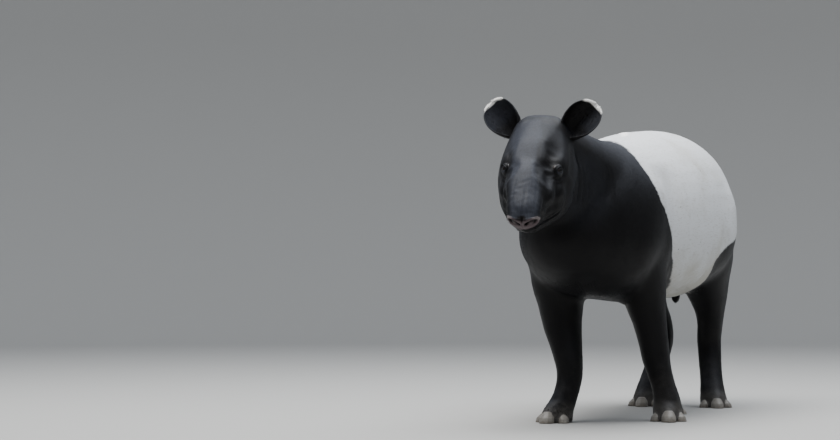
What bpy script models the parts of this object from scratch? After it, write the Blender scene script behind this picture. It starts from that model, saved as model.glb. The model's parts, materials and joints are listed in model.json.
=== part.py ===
"""A standing Malayan tapir at life size, as a museum model.

Metres, +Z up. The animal faces -Y, its left side is +X, and it stands on Z = 0.
The body is lofted from rings along each of its lengths and fused into one skin. Strokes press the
hollows and raise the ridges of that skin, and thin cuts of GAP part it into its named pieces.
Ears, eyes, hooves, tail and the fold at the groin are made on their own, with the same gap.
"""

import math
from collections import namedtuple

import bmesh
import bpy
import numpy as np
from mathutils import Matrix, Vector

GAP = 0.0003
VOXEL = 0.009
BLEND_ROUNDS = 12
BODY_TRIANGLES = 6200
SNAP = 0.003

# The head: where its poll is, and how far its face is pitched down and turned.
POLL = Vector((-0.045, -0.385, 1.043))
HEAD_PITCH = 36.5
HEAD_YAW = 10.5
HEAD_ROLL = 2.5

EYE_AT = Vector((0.0800, -0.249, -0.047))
EYE_RADIUS = 0.0190
EYE_LOOKS = Vector((0.84, -0.42, 0.34)).normalized()

SNOUT_ROOT = Vector((0.0, -0.270, -0.062))
SNOUT_LENGTH = 0.222
SNOUT_DROOP = 26.0

EAR_LENGTH = 0.142
EAR_THICK = 0.0055
EAR_ROOT = Vector((0.082, -0.022, -0.050))
EAR_POINTS = Vector((0.70, 0.02, 0.71)).normalized()
EAR_FACES = Vector((0.16, -0.98, 0.10)).normalized()

Ring = namedtuple("Ring", "x y z wide up down pitch yaw square", defaults=(0.0, 0.0, 2.2))
LegRing = namedtuple("LegRing", "z wide front rear")
Stroke = namedtuple("Stroke", "points radius depth")
Cut = namedtuple("Cut", "point normal")
Finish = namedtuple("Finish", "name color roughness metallic")

BLACK_COAT = Finish("black coat", (0.035, 0.036, 0.042, 1.0), 0.62, 0.0)
PALE_COAT = Finish("pale coat", (0.62, 0.61, 0.58, 1.0), 0.70, 0.0)
HORN = Finish("hoof horn", (0.42, 0.39, 0.34, 1.0), 0.55, 0.0)
EYE = Finish("dark eye", (0.020, 0.014, 0.010, 1.0), 0.08, 0.0)


def clear_scene():
    """Empty the scene."""
    for obj in list(bpy.data.objects):
        bpy.data.objects.remove(obj)


def through(knots, values, at):
    """Values read at the places given, on a smooth curve through the knots that never overshoots."""
    knots = np.asarray(knots, float)
    values = np.asarray(values, float)
    at = np.asarray(at, float)
    gaps = np.diff(knots)
    slopes = np.diff(values, axis=0) / gaps[:, None]
    tangents = np.zeros_like(values)
    tangents[0] = slopes[0]
    tangents[-1] = slopes[-1]
    for i in range(1, len(knots) - 1):
        before, after = slopes[i - 1], slopes[i]
        same_way = before * after > 0
        weight_before = 2 * gaps[i] + gaps[i - 1]
        weight_after = gaps[i] + 2 * gaps[i - 1]
        safe_before = np.where(same_way, before, 1.0)
        safe_after = np.where(same_way, after, 1.0)
        mean = (weight_before + weight_after) / (weight_before / safe_before + weight_after / safe_after)
        tangents[i] = np.where(same_way, mean, 0.0)
    span = np.clip(np.searchsorted(knots, at, side="right") - 1, 0, len(knots) - 2)
    step = gaps[span][:, None]
    t = ((at - knots[span]) / gaps[span])[:, None]
    return (
        (2 * t**3 - 3 * t**2 + 1) * values[span]
        + (t**3 - 2 * t**2 + t) * step * tangents[span]
        + (-2 * t**3 + 3 * t**2) * values[span + 1]
        + (t**3 - t**2) * step * tangents[span + 1]
    )


def new_object(name, mesh):
    """A mesh object, linked to the scene."""
    obj = bpy.data.objects.new(name, mesh)
    bpy.context.scene.collection.objects.link(obj)
    return obj


def object_from(name, mesh_bm, frame=None):
    """An object from a bmesh, moved into place, its faces pointing out."""
    if frame is not None:
        mesh_bm.transform(frame)
    loose = [edge for edge in mesh_bm.edges if not edge.link_faces]
    bmesh.ops.delete(mesh_bm, geom=loose, context="EDGES")
    bmesh.ops.recalc_face_normals(mesh_bm, faces=mesh_bm.faces)
    if mesh_bm.calc_volume(signed=True) < 0:
        bmesh.ops.reverse_faces(mesh_bm, faces=mesh_bm.faces)
    mesh = bpy.data.meshes.new(name)
    mesh_bm.to_mesh(mesh)
    mesh_bm.free()
    return new_object(name, mesh)


def applied(obj):
    """The same object, with its modifiers turned into mesh."""
    graph = bpy.context.evaluated_depsgraph_get()
    mesh = bpy.data.meshes.new_from_object(obj.evaluated_get(graph))
    obj.modifiers.clear()
    obj.data = mesh
    return obj


def loft(name, rings, sides=40, spacing=0.022, frame=None):
    """A closed skin through the rings. Each ring is a superellipse, pitched about X and turned about Z."""
    table = np.array([list(ring) for ring in rings], float)
    steps = np.linalg.norm(np.diff(table[:, :3], axis=0), axis=1)
    along = np.concatenate([[0.0], np.cumsum(steps)])
    count = max(len(rings), int(along[-1] / spacing) + 1)
    table = through(along, table, np.linspace(0.0, along[-1], count))
    turn = np.linspace(0.0, 2 * math.pi, sides, endpoint=False)
    mesh_bm = bmesh.new()
    loops = []
    for x, y, z, wide, up, down, pitch, yaw, square in table:
        across = np.sign(np.cos(turn)) * np.abs(np.cos(turn)) ** (2 / square) * wide
        height = np.sign(np.sin(turn)) * np.abs(np.sin(turn)) ** (2 / square)
        height = np.where(height > 0, height * up, height * down)
        yawed = Matrix.Rotation(math.radians(yaw), 3, "Z")
        turned = yawed @ Matrix.Rotation(math.radians(pitch), 3, "X")
        points = [Vector((x, y, z)) + turned @ Vector((a, 0.0, h)) for a, h in zip(across, height)]
        loops.append([mesh_bm.verts.new(point) for point in points])
    for first, second in zip(loops, loops[1:]):
        for i in range(sides):
            j = (i + 1) % sides
            mesh_bm.faces.new((first[i], first[j], second[j], second[i]))
    mesh_bm.faces.new(loops[0])
    mesh_bm.faces.new(loops[-1])
    return object_from(name, mesh_bm, frame)


def head_turn():
    """How the head is turned and leans, before it is pitched."""
    roll = Matrix.Rotation(math.radians(HEAD_ROLL), 4, "Y")
    return Matrix.Rotation(math.radians(HEAD_YAW), 4, "Z") @ roll


def head_frame():
    """The head's own axes: origin at the poll, -Y towards the nose, +Z out of the forehead."""
    pitch = Matrix.Rotation(math.radians(HEAD_PITCH), 4, "X")
    return Matrix.Translation(POLL) @ head_turn() @ pitch


def trunk():
    """Barrel of the body, from the breast to the rump."""
    rings = [
        Ring(-0.005, -0.305, 0.670, 0.050, 0.060, 0.055, 0),
        Ring(-0.005, -0.275, 0.670, 0.120, 0.135, 0.120, 0),
        Ring(-0.003, -0.190, 0.672, 0.195, 0.240, 0.180, 0),
        Ring(0.002, -0.060, 0.678, 0.240, 0.305, 0.232, 0),
        Ring(0.002, 0.100, 0.682, 0.264, 0.320, 0.252, 0),
        Ring(0.000, 0.300, 0.682, 0.292, 0.350, 0.252, 0),
        Ring(0.000, 0.540, 0.688, 0.314, 0.382, 0.256, 0),
        Ring(0.000, 0.760, 0.700, 0.316, 0.393, 0.272, 0),
        Ring(0.000, 0.940, 0.720, 0.300, 0.368, 0.270, 0),
        Ring(0.000, 1.075, 0.738, 0.264, 0.312, 0.238, 0),
        Ring(0.000, 1.168, 0.752, 0.206, 0.232, 0.185, 0),
        Ring(0.000, 1.215, 0.765, 0.132, 0.140, 0.120, 0),
        Ring(0.000, 1.234, 0.770, 0.058, 0.060, 0.050, 0),
    ]
    return loft("trunk", rings)


def neck():
    """Neck, from inside the shoulders to the back of the skull."""
    rings = [
        Ring(0.000, 0.090, 0.740, 0.225, 0.262, 0.250, -8),
        Ring(-0.006, -0.060, 0.785, 0.200, 0.217, 0.250, -8),
        Ring(-0.016, -0.180, 0.822, 0.170, 0.190, 0.225, -6, 2),
        Ring(-0.028, -0.275, 0.850, 0.144, 0.180, 0.195, 0, 4),
        Ring(-0.038, -0.350, 0.872, 0.126, 0.168, 0.165, 10, 6),
        Ring(-0.036, -0.410, 0.880, 0.106, 0.140, 0.135, 20, 7),
    ]
    return loft("neck", rings)


def skull():
    """Skull with its cheeks and lower jaw, in the head's own axes."""
    rings = [
        Ring(0, 0.055, -0.120, 0.074, 0.080, 0.090, 0),
        Ring(0, 0.005, -0.110, 0.098, 0.123, 0.120, 0),
        Ring(0, -0.060, -0.104, 0.114, 0.138, 0.134, 0),
        Ring(0, -0.130, -0.100, 0.124, 0.122, 0.140, 0),
        Ring(0, -0.200, -0.098, 0.122, 0.106, 0.134, 0, 0, 2.3),
        Ring(0, -0.262, -0.100, 0.108, 0.090, 0.120, 0, 0, 2.3),
        Ring(0, -0.322, -0.110, 0.084, 0.077, 0.099, 0),
        Ring(0, -0.378, -0.124, 0.060, 0.064, 0.072, 0),
        Ring(0, -0.415, -0.138, 0.044, 0.046, 0.048, 0),
        Ring(0, -0.434, -0.146, 0.024, 0.026, 0.026, 0),
    ]
    return loft("skull", rings, sides=40, spacing=0.014, frame=head_frame())


def jowls():
    """Deep cheeks and lower jaw, hung under the skull, in the head's own axes."""
    rings = [
        Ring(0, -0.010, -0.140, 0.050, 0.050, 0.055, 0, 0, 2.2),
        Ring(0, -0.060, -0.150, 0.092, 0.080, 0.096, 0, 0, 2.3),
        Ring(0, -0.130, -0.155, 0.112, 0.090, 0.114, 0, 0, 2.4),
        Ring(0, -0.200, -0.155, 0.119, 0.090, 0.112, 0, 0, 2.5),
        Ring(0, -0.262, -0.152, 0.116, 0.078, 0.096, 0, 0, 2.5),
        Ring(0, -0.316, -0.150, 0.097, 0.056, 0.074, 0, 0, 2.4),
        Ring(0, -0.366, -0.152, 0.068, 0.040, 0.050, 0, 0, 2.2),
        Ring(0, -0.402, -0.154, 0.038, 0.022, 0.028, 0),
    ]
    return loft("jowls", rings, sides=40, spacing=0.014, frame=head_frame())


def snout_ring(share):
    """Place, pitch and half sizes of the snout at a share of its length."""
    place = SNOUT_ROOT.copy()
    steps = 40
    for i in range(int(round(share * steps))):
        angle = math.radians(SNOUT_DROOP * ((i + 0.5) / steps) ** 1.5)
        place = place + Vector((0.0, -math.cos(angle), -math.sin(angle))) * (SNOUT_LENGTH / steps)
    knots = [0.0, 0.35, 0.62, 0.84, 0.93, 1.0]
    half_widths = [0.070, 0.058, 0.050, 0.046, 0.049, 0.053]
    half_heights = [0.054, 0.047, 0.042, 0.037, 0.037, 0.037]
    wide, tall = through(knots, list(zip(half_widths, half_heights)), [share])[0]
    return Ring(*place, wide, tall, tall, SNOUT_DROOP * share**1.5)


def snout():
    """Short trunk over the mouth: an arc that droops from the line of the face to the nostrils."""
    rings = [snout_ring(i / 12) for i in range(13)]
    return loft("snout", rings, sides=32, spacing=0.012, frame=head_frame())


# Middle line of each leg, as (z, x, y) from the joint in the body down to the floor.
LEG_LINES = {
    "fore_left": [
        (0.74, 0.150, 0.050),
        (0.62, 0.152, 0.080),
        (0.50, 0.152, 0.120),
        (0.412, 0.159, 0.144),
        (0.312, 0.177, 0.164),
        (0.213, 0.190, 0.175),
        (0.169, 0.200, 0.179),
        (0.121, 0.214, 0.184),
        (0.074, 0.226, 0.184),
        (0.002, 0.229, 0.184),
        (-0.02, 0.229, 0.184),
    ],
    "fore_right": [
        (0.74, -0.150, 0.040),
        (0.62, -0.150, 0.050),
        (0.50, -0.142, 0.060),
        (0.412, -0.130, 0.055),
        (0.344, -0.121, 0.045),
        (0.274, -0.101, 0.025),
        (0.217, -0.085, 0.008),
        (0.165, -0.076, -0.004),
        (0.116, -0.081, -0.016),
        (0.070, -0.096, -0.028),
        (0.038, -0.109, -0.034),
        (-0.02, -0.114, -0.036),
    ],
    "hind_left": [
        (0.86, 0.150, 0.960),
        (0.74, 0.155, 0.950),
        (0.62, 0.158, 0.955),
        (0.50, 0.160, 1.000),
        (0.414, 0.165, 1.050),
        (0.333, 0.162, 1.085),
        (0.276, 0.156, 1.090),
        (0.196, 0.164, 1.070),
        (0.122, 0.177, 1.035),
        (0.074, 0.188, 1.010),
        (0.032, 0.194, 1.000),
        (-0.02, 0.197, 1.000),
    ],
    "hind_right": [
        (0.86, -0.140, 0.960),
        (0.74, -0.145, 0.950),
        (0.62, -0.135, 0.960),
        (0.50, -0.112, 1.010),
        (0.414, -0.085, 1.060),
        (0.340, -0.055, 1.098),
        (0.285, -0.044, 1.100),
        (0.205, -0.048, 1.070),
        (0.117, -0.064, 1.020),
        (0.060, -0.072, 0.985),
        (0.020, -0.077, 0.980),
        (-0.02, -0.078, 0.980),
    ],
}
FORE_LEG = [
    LegRing(0.740, 0.080, 0.120, 0.120),
    LegRing(0.620, 0.096, 0.145, 0.135),
    LegRing(0.500, 0.088, 0.115, 0.118),
    LegRing(0.420, 0.074, 0.088, 0.090),
    LegRing(0.340, 0.061, 0.073, 0.070),
    LegRing(0.260, 0.054, 0.062, 0.058),
    LegRing(0.215, 0.052, 0.060, 0.055),
    LegRing(0.165, 0.047, 0.051, 0.052),
    LegRing(0.120, 0.046, 0.050, 0.052),
    LegRing(0.075, 0.050, 0.054, 0.053),
    LegRing(0.030, 0.055, 0.060, 0.054),
    LegRing(-0.020, 0.055, 0.060, 0.054),
]
HIND_LEG = [
    LegRing(0.860, 0.090, 0.140, 0.150),
    LegRing(0.740, 0.120, 0.200, 0.215),
    LegRing(0.620, 0.122, 0.195, 0.205),
    LegRing(0.500, 0.096, 0.140, 0.140),
    LegRing(0.440, 0.078, 0.108, 0.108),
    LegRing(0.400, 0.065, 0.086, 0.090),
    LegRing(0.360, 0.056, 0.071, 0.078),
    LegRing(0.320, 0.051, 0.062, 0.070),
    LegRing(0.270, 0.050, 0.058, 0.061),
    LegRing(0.190, 0.048, 0.050, 0.051),
    LegRing(0.120, 0.047, 0.049, 0.050),
    LegRing(0.070, 0.050, 0.054, 0.052),
    LegRing(0.030, 0.055, 0.058, 0.053),
    LegRing(-0.020, 0.055, 0.058, 0.053),
]


def leg_middle(leg_name, height):
    """The leg's middle, as a point, at a height over the floor."""
    line = sorted(LEG_LINES[leg_name])
    x, y = through([row[0] for row in line], [row[1:] for row in line], [height])[0]
    return Vector((x, y, height))


def leg(leg_name):
    """One leg, as level rings strung on its middle line."""
    shape = FORE_LEG if leg_name.startswith("fore") else HIND_LEG
    rings = []
    for part in shape:
        middle = leg_middle(leg_name, part.z)
        rings.append(Ring(*middle, part.wide, part.front, part.rear, 90))
    return loft(leg_name, rings, sides=28, spacing=0.016)


# Each toe: the way it points off the middle one (outwards is positive), how far its hoof's
# centre is from the pastern, the hoof's half width, half length and height, and how high it is set.
Toe = namedtuple("Toe", "name splay reach half_width half_length height lift")
FORE_TOES = [
    Toe("middle", 0.0, 0.078, 0.0275, 0.031, 0.040, 0.000),
    Toe("inner", -50.0, 0.055, 0.0210, 0.025, 0.033, 0.000),
    Toe("outer", 50.0, 0.055, 0.0210, 0.025, 0.033, 0.000),
    Toe("small", 96.0, 0.053, 0.0130, 0.016, 0.025, 0.022),
]
HIND_TOES = [
    Toe("middle", 0.0, 0.076, 0.0265, 0.030, 0.038, 0.000),
    Toe("inner", -50.0, 0.057, 0.0205, 0.024, 0.031, 0.000),
    Toe("outer", 50.0, 0.057, 0.0205, 0.024, 0.031, 0.000),
]
TOE_HEADING = {"fore_left": 17.0, "fore_right": -10.0, "hind_left": 24.0, "hind_right": 2.0}


def toes_of(leg_name):
    """The toes of one foot."""
    return FORE_TOES if leg_name.startswith("fore") else HIND_TOES


def toe_turn(leg_name, toe):
    """Which way the toe points, as a turn about Z from -Y."""
    side = 1 if leg_name.endswith("left") else -1
    return math.radians(TOE_HEADING[leg_name] + side * toe.splay)


def toe_flesh(leg_name, toe):
    """A toe: a short tapered finger from the pastern down to the hoof."""
    turn = toe_turn(leg_name, toe)
    ahead = Vector((math.sin(turn), -math.cos(turn), 0.0))
    foot = leg_middle(leg_name, 0.0)
    stations = [(0.0, 0.070, 1.05), (0.45, 0.050, 1.10), (0.80, 0.031, 1.08), (1.0, 0.022, 0.90)]
    rings = []
    for share, height, size in stations:
        place = foot + ahead * (toe.reach * share) + Vector((0, 0, height + toe.lift))
        thick = toe.half_width * size
        rings.append(Ring(*place, thick, thick, thick * 1.3, 0, math.degrees(turn)))
    return loft(f"toe_{leg_name}_{toe.name}", rings, sides=18, spacing=0.012)


def hoof(leg_name, toe, extra=0.0):
    """A hoof: a rounded wedge with a flat sole, or the larger shape that cuts its seat."""
    turn = toe_turn(leg_name, toe)
    ahead = Vector((math.sin(turn), -math.cos(turn), 0.0))
    place = leg_middle(leg_name, 0.0) + ahead * toe.reach + Vector((0, 0, toe.lift))
    frame = Matrix.Translation(place) @ Matrix.Rotation(turn, 4, "Z")
    levels = [
        (0.0, 1.0, 1.0, 0.000),
        (0.50 * toe.height, 0.94, 0.90, 0.003),
        (toe.height + extra, 0.56, 0.50, 0.011),
    ]
    if extra:
        levels.append((-0.03, 1.0, 1.0, 0.000))
    points = []
    mesh_bm = bmesh.new()
    for z, wide, long, back in levels:
        for i in range(10):
            angle = 2 * math.pi * (i + 0.5) / 10
            across = math.cos(angle) * (toe.half_width * wide + extra)
            lengthwise = math.sin(angle)
            flat_back = 0.72 if lengthwise > 0 else 1.0
            along = lengthwise * (toe.half_length * long * flat_back + extra) + back
            points.append(mesh_bm.verts.new((across, along, z)))
    bmesh.ops.convex_hull(mesh_bm, input=points)
    return object_from(f"hoof_{leg_name}_{toe.name}", mesh_bm, frame)


def fused(pieces):
    """One skin over all the pieces, its creases filled as flesh fills them."""
    whole = bmesh.new()
    for piece in pieces:
        whole.from_mesh(piece.data)
        bpy.data.objects.remove(piece)
    body = object_from("body", whole)
    remesh = body.modifiers.new("fuse", "REMESH")
    remesh.mode = "VOXEL"
    remesh.voxel_size = VOXEL
    smooth = body.modifiers.new("blend", "SMOOTH")
    smooth.factor = 0.5
    smooth.iterations = BLEND_ROUNDS
    return applied(body)


def flesh():
    """The whole body as one closed skin."""
    pieces = [trunk(), neck(), skull(), jowls(), snout()]
    for leg_name in LEG_LINES:
        pieces.append(leg(leg_name))
        pieces += [toe_flesh(leg_name, toe) for toe in toes_of(leg_name)]
    return fused(pieces)


def refined(obj):
    """The same skin with its faces halved over the face, where the small forms are."""
    to_head = head_frame().inverted()
    mesh_bm = bmesh.new()
    mesh_bm.from_mesh(obj.data)
    for edge_limit in (0.0075, 0.0045):
        edges = []
        for edge in mesh_bm.edges:
            middle = to_head @ ((edge.verts[0].co + edge.verts[1].co) / 2)
            if middle.y < -0.12 and middle.z > -0.30 and edge.calc_length() > edge_limit * 0.7:
                edges.append(edge)
        bmesh.ops.subdivide_edges(mesh_bm, edges=edges, cuts=1, use_grid_fill=True)
        near = [v for v in mesh_bm.verts if (to_head @ v.co).y < -0.12 and (to_head @ v.co).z > -0.30]
        for _ in range(3):
            bmesh.ops.smooth_vert(mesh_bm, verts=near, factor=0.5, use_axis_x=True, use_axis_y=True, use_axis_z=True)
    mesh_bm.to_mesh(obj.data)
    mesh_bm.free()
    return obj


def eye_ring(radius, lift, start=0.0, end=360.0):
    """Points round the eye, in the head's axes, on a circle square to where it looks."""
    across = EYE_LOOKS.cross(Vector((0, 0, 1))).normalized()
    above = across.cross(EYE_LOOKS)
    centre = EYE_AT + EYE_LOOKS * lift
    angles = np.radians(np.linspace(start, end, 13))
    return [centre + (across * math.cos(a) + above * math.sin(a)) * radius for a in angles]


def face_line(*points):
    """The points of a stroke."""
    return [Vector(point) for point in points]


def head_strokes():
    """Strokes of the face's left half, in the head's axes. They are mirrored for the right half."""
    return [
        Stroke([EYE_AT + EYE_LOOKS * 0.012], 0.050, -0.0060),
        Stroke([Vector((0.074, -0.185, 0.002)), Vector((0.082, -0.205, -0.008))], 0.036, -0.0085),
        Stroke(face_line((0.060, -0.262, -0.012), (0.082, -0.232, -0.010), (0.094, -0.200, -0.020)), 0.018, 0.0040),
        Stroke(face_line((0.050, -0.275, -0.018), (0.040, -0.320, -0.034)), 0.032, -0.0050),
        Stroke(face_line((0.086, -0.285, -0.072), (0.070, -0.325, -0.096), (0.060, -0.375, -0.120)), 0.024, -0.0080),
        Stroke(face_line((0.096, -0.285, -0.112), (0.086, -0.315, -0.125)), 0.036, 0.0070),
        Stroke(face_line((0.114, -0.140, -0.140), (0.110, -0.200, -0.150)), 0.080, 0.0070),
        Stroke(face_line((0.072, -0.300, -0.158), (0.055, -0.355, -0.160), (0.040, -0.405, -0.158)), 0.014, -0.0050),
        Stroke(face_line((0.070, -0.305, -0.184), (0.054, -0.360, -0.184), (0.034, -0.405, -0.178)), 0.020, 0.0040),
        Stroke(eye_ring(EYE_RADIUS * 0.98, 0.010, 20, 160), 0.0085, 0.0050),
        Stroke(eye_ring(EYE_RADIUS * 0.98, 0.009, 200, 340), 0.0075, 0.0035),
    ]


def body_strokes():
    """Strokes of the body, in the world's axes."""
    strokes = []
    for side in (1, -1):
        strokes += [
            Stroke(face_line((side * 0.23, 0.02, 0.80), (side * 0.25, -0.05, 0.62)), 0.120, 0.010),
            Stroke(face_line((side * 0.25, 0.20, 0.86), (side * 0.27, 0.20, 0.66), (side * 0.25, 0.22, 0.52)), 0.090, -0.009),
            Stroke(face_line((side * 0.29, 0.72, 0.64), (side * 0.27, 0.68, 0.50)), 0.090, -0.009),
            Stroke(face_line((side * 0.265, 0.92, 0.76), (side * 0.262, 0.90, 0.60)), 0.150, 0.011),
            Stroke(face_line((side * 0.15, -0.25, 0.93), (side * 0.16, -0.24, 0.80)), 0.050, -0.005),
        ]
    return strokes


def pressed(obj, strokes, frame=None, mirrored=False):
    """The skin, moved along its normals near each stroke, more the nearer it is."""
    mesh = obj.data
    count = len(mesh.vertices)
    places = np.empty(count * 3)
    mesh.vertices.foreach_get("co", places)
    places = places.reshape(-1, 3)
    frame = frame or Matrix.Identity(4)
    inverse = np.array(frame.inverted())
    for stroke in strokes:
        for side in (1, -1) if mirrored else (1,):
            mesh.update()
            normals = np.array([vert.normal[:] for vert in mesh.vertices]) if side == 1 else normals
            local = places @ inverse[:3, :3].T + inverse[:3, 3]
            local[:, 0] *= side
            points = [np.array(point) for point in stroke.points]
            nearest = np.linalg.norm(local - points[0], axis=1)
            for first, second in zip(points, points[1:]):
                along = second - first
                share = np.clip((local - first) @ along / (along @ along), 0, 1)
                nearest = np.minimum(nearest, np.linalg.norm(local - first - share[:, None] * along, axis=1))
            fall = np.clip(1 - (nearest / stroke.radius) ** 2, 0, 1) ** 2
            places = places + normals * (fall * stroke.depth)[:, None]
            mesh.vertices.foreach_set("co", places.reshape(-1))
    mesh.update()
    return obj


def thinned(obj, triangles):
    """The same skin with fewer triangles, most of them kept where it curves."""
    mesh_bm = bmesh.new()
    mesh_bm.from_mesh(obj.data)
    bmesh.ops.triangulate(mesh_bm, faces=mesh_bm.faces)
    count = len(mesh_bm.faces)
    mesh_bm.to_mesh(obj.data)
    mesh_bm.free()
    decimate = obj.modifiers.new("thin", "DECIMATE")
    decimate.ratio = triangles / count
    return applied(obj)


def capped_half(obj, name, cut, keep_front):
    """One side of the cut, closed over and drawn back from it by half the gap."""
    point, normal = Vector(cut.point), Vector(cut.normal).normalized()
    mesh_bm = bmesh.new()
    mesh_bm.from_mesh(obj.data)
    others = [plane for plane in held_planes() if plane != cut]
    for vert in mesh_bm.verts:
        distance = (vert.co - point).dot(normal)
        if abs(distance) < SNAP and not any(on_plane(vert.co, plane, GAP) for plane in others):
            vert.co -= normal * distance
    bmesh.ops.bisect_plane(
        mesh_bm,
        geom=mesh_bm.verts[:] + mesh_bm.edges[:] + mesh_bm.faces[:],
        dist=1e-7,
        plane_co=point,
        plane_no=normal,
        clear_inner=keep_front,
        clear_outer=not keep_front,
    )
    flat = [f for f in mesh_bm.faces if all(abs((v.co - point).dot(normal)) < 1e-6 for v in f.verts)]
    bmesh.ops.delete(mesh_bm, geom=flat, context="FACES")
    rim = [edge for edge in mesh_bm.edges if edge.is_boundary]
    bmesh.ops.edgeloop_fill(mesh_bm, edges=rim)
    way = 1.0 if keep_front else -1.0
    for vert in mesh_bm.verts:
        if abs((vert.co - point).dot(normal)) < 1e-6:
            vert.co += normal * (way * GAP / 2)
    bmesh.ops.triangulate(mesh_bm, faces=[f for f in mesh_bm.faces if len(f.verts) > 3])
    return object_from(name, mesh_bm)


def parted(obj, cut, front_name, back_name):
    """Both sides of a cut. The front side is the one its normal points to."""
    obj.name = "whole"
    front = capped_half(obj, front_name, cut, True)
    back = capped_half(obj, back_name, cut, False)
    bpy.data.objects.remove(obj)
    return front, back


def islands(obj):
    """The separate closed surfaces of an object, each as a list of its vertices' indices."""
    mesh_bm = bmesh.new()
    mesh_bm.from_mesh(obj.data)
    mesh_bm.verts.ensure_lookup_table()
    unseen = set(range(len(mesh_bm.verts)))
    found = []
    while unseen:
        start = unseen.pop()
        group, queue = [start], [start]
        while queue:
            for edge in mesh_bm.verts[queue.pop()].link_edges:
                for vert in edge.verts:
                    if vert.index in unseen:
                        unseen.discard(vert.index)
                        group.append(vert.index)
                        queue.append(vert.index)
        found.append(group)
    mesh_bm.free()
    return sorted(found, key=len, reverse=True)


def only(obj, name, keep):
    """A new object with only the given vertices of another."""
    mesh_bm = bmesh.new()
    mesh_bm.from_mesh(obj.data)
    mesh_bm.verts.ensure_lookup_table()
    kept = set(keep)
    drop = [vert for vert in mesh_bm.verts if vert.index not in kept]
    bmesh.ops.delete(mesh_bm, geom=drop, context="VERTS")
    return object_from(name, mesh_bm)


def largest(obj):
    """The object with only its largest closed surface."""
    name = obj.name
    obj.name = "whole"
    kept = only(obj, name, islands(obj)[0])
    bpy.data.objects.remove(obj)
    return kept


def pair(obj, left_name, right_name):
    """Two legs that one object holds, told apart by which side each is on."""
    obj.name = "whole"
    groups = islands(obj)[:2]
    middle = [sum(obj.data.vertices[i].co.x for i in group) / len(group) for group in groups]
    left = 0 if middle[0] > middle[1] else 1
    made = only(obj, left_name, groups[left]), only(obj, right_name, groups[1 - left])
    bpy.data.objects.remove(obj)
    return made


def carved(obj, cutters, solver="EXACT"):
    """The object with the cutters' room taken out of it, and its largest surface kept."""
    for cutter in cutters:
        cutter.hide_render = True
        cutter.display_type = "WIRE"
        modifier = obj.modifiers.new("carve", "BOOLEAN")
        modifier.operation = "DIFFERENCE"
        modifier.solver = solver
        modifier.object = cutter
    applied(obj)
    return largest(obj)


def swollen(obj, by):
    """A copy with every vertex moved out along its normal."""
    copy = new_object(obj.name + "_swollen", obj.data.copy())
    normals = [vert.normal.copy() for vert in copy.data.vertices]
    for vert, normal in zip(copy.data.vertices, normals):
        vert.co += normal * by
    copy.hide_render = True
    copy.display_type = "WIRE"
    return copy


def ball(name, centre, half_sizes, turned=None, segments=12, rings=8):
    """An ellipsoid."""
    mesh_bm = bmesh.new()
    bmesh.ops.create_uvsphere(mesh_bm, u_segments=segments, v_segments=rings, radius=1.0)
    scaled = Matrix.Diagonal((*half_sizes, 1.0))
    return object_from(name, mesh_bm, Matrix.Translation(centre) @ (turned or Matrix.Identity(4)) @ scaled)


def ear(side):
    """One ear: a leaf-shaped cup, rolled into a tube at its root and open to the front."""
    rows, columns = 11, 10
    heights = np.linspace(0.0, 1.0, rows)
    knots = [0.0, 0.18, 0.40, 0.62, 0.82, 0.94, 1.0]
    half_widths = through(knots, [[0.031], [0.043], [0.055], [0.058], [0.049], [0.033], [0.012]], heights)
    wraps = through(knots, [[140], [112], [90], [76], [62], [52], [46]], heights)
    mesh_bm = bmesh.new()
    grid = []
    for t, half_width, wrap in zip(heights, half_widths[:, 0], np.radians(wraps[:, 0])):
        radius = half_width / math.sin(min(wrap, math.pi / 2))
        row = []
        for s in np.linspace(-1.0, 1.0, columns):
            across = radius * math.sin(s * wrap)
            ahead = -radius * (1 - math.cos(s * wrap))
            row.append(mesh_bm.verts.new((across, ahead, t * EAR_LENGTH)))
        grid.append(row)
    for low, high in zip(grid, grid[1:]):
        for i in range(columns - 1):
            mesh_bm.faces.new((low[i], low[i + 1], high[i + 1], high[i]))
    points = Vector((side * EAR_POINTS.x, EAR_POINTS.y, EAR_POINTS.z))
    back = -Vector((side * EAR_FACES.x, EAR_FACES.y, EAR_FACES.z))
    back = (back - points * back.dot(points)).normalized()
    across = back.cross(points)
    turned = Matrix((across, back, points)).transposed().to_4x4()
    root = head_frame() @ Vector((side * EAR_ROOT.x, EAR_ROOT.y, EAR_ROOT.z))
    name = "ear_left" if side > 0 else "ear_right"
    obj = object_from(name, mesh_bm, Matrix.Translation(root) @ head_turn() @ turned)
    wall = obj.modifiers.new("wall", "SOLIDIFY")
    wall.thickness = EAR_THICK
    wall.offset = 0.0
    return applied(obj)


def eye_place(side):
    """The middle of an eyeball, and the turn that points its Z the way it looks."""
    frame = head_frame()
    centre = frame @ Vector((side * EYE_AT.x, EYE_AT.y, EYE_AT.z))
    looks = frame.to_3x3() @ Vector((side * EYE_LOOKS.x, EYE_LOOKS.y, EYE_LOOKS.z))
    return centre, looks.to_track_quat("Z", "Y").to_matrix().to_4x4()


def tail():
    """The short tail, down the back of the rump."""
    rings = [
        Ring(0, 1.140, 0.890, 0.028, 0.030, 0.030, -40),
        Ring(0, 1.202, 0.858, 0.026, 0.026, 0.026, -55),
        Ring(0, 1.242, 0.812, 0.021, 0.019, 0.019, -70),
        Ring(0, 1.258, 0.772, 0.015, 0.012, 0.012, -80),
        Ring(0, 1.262, 0.752, 0.006, 0.005, 0.005, -86),
    ]
    return loft("tail", rings, sides=10, spacing=0.03)


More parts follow.
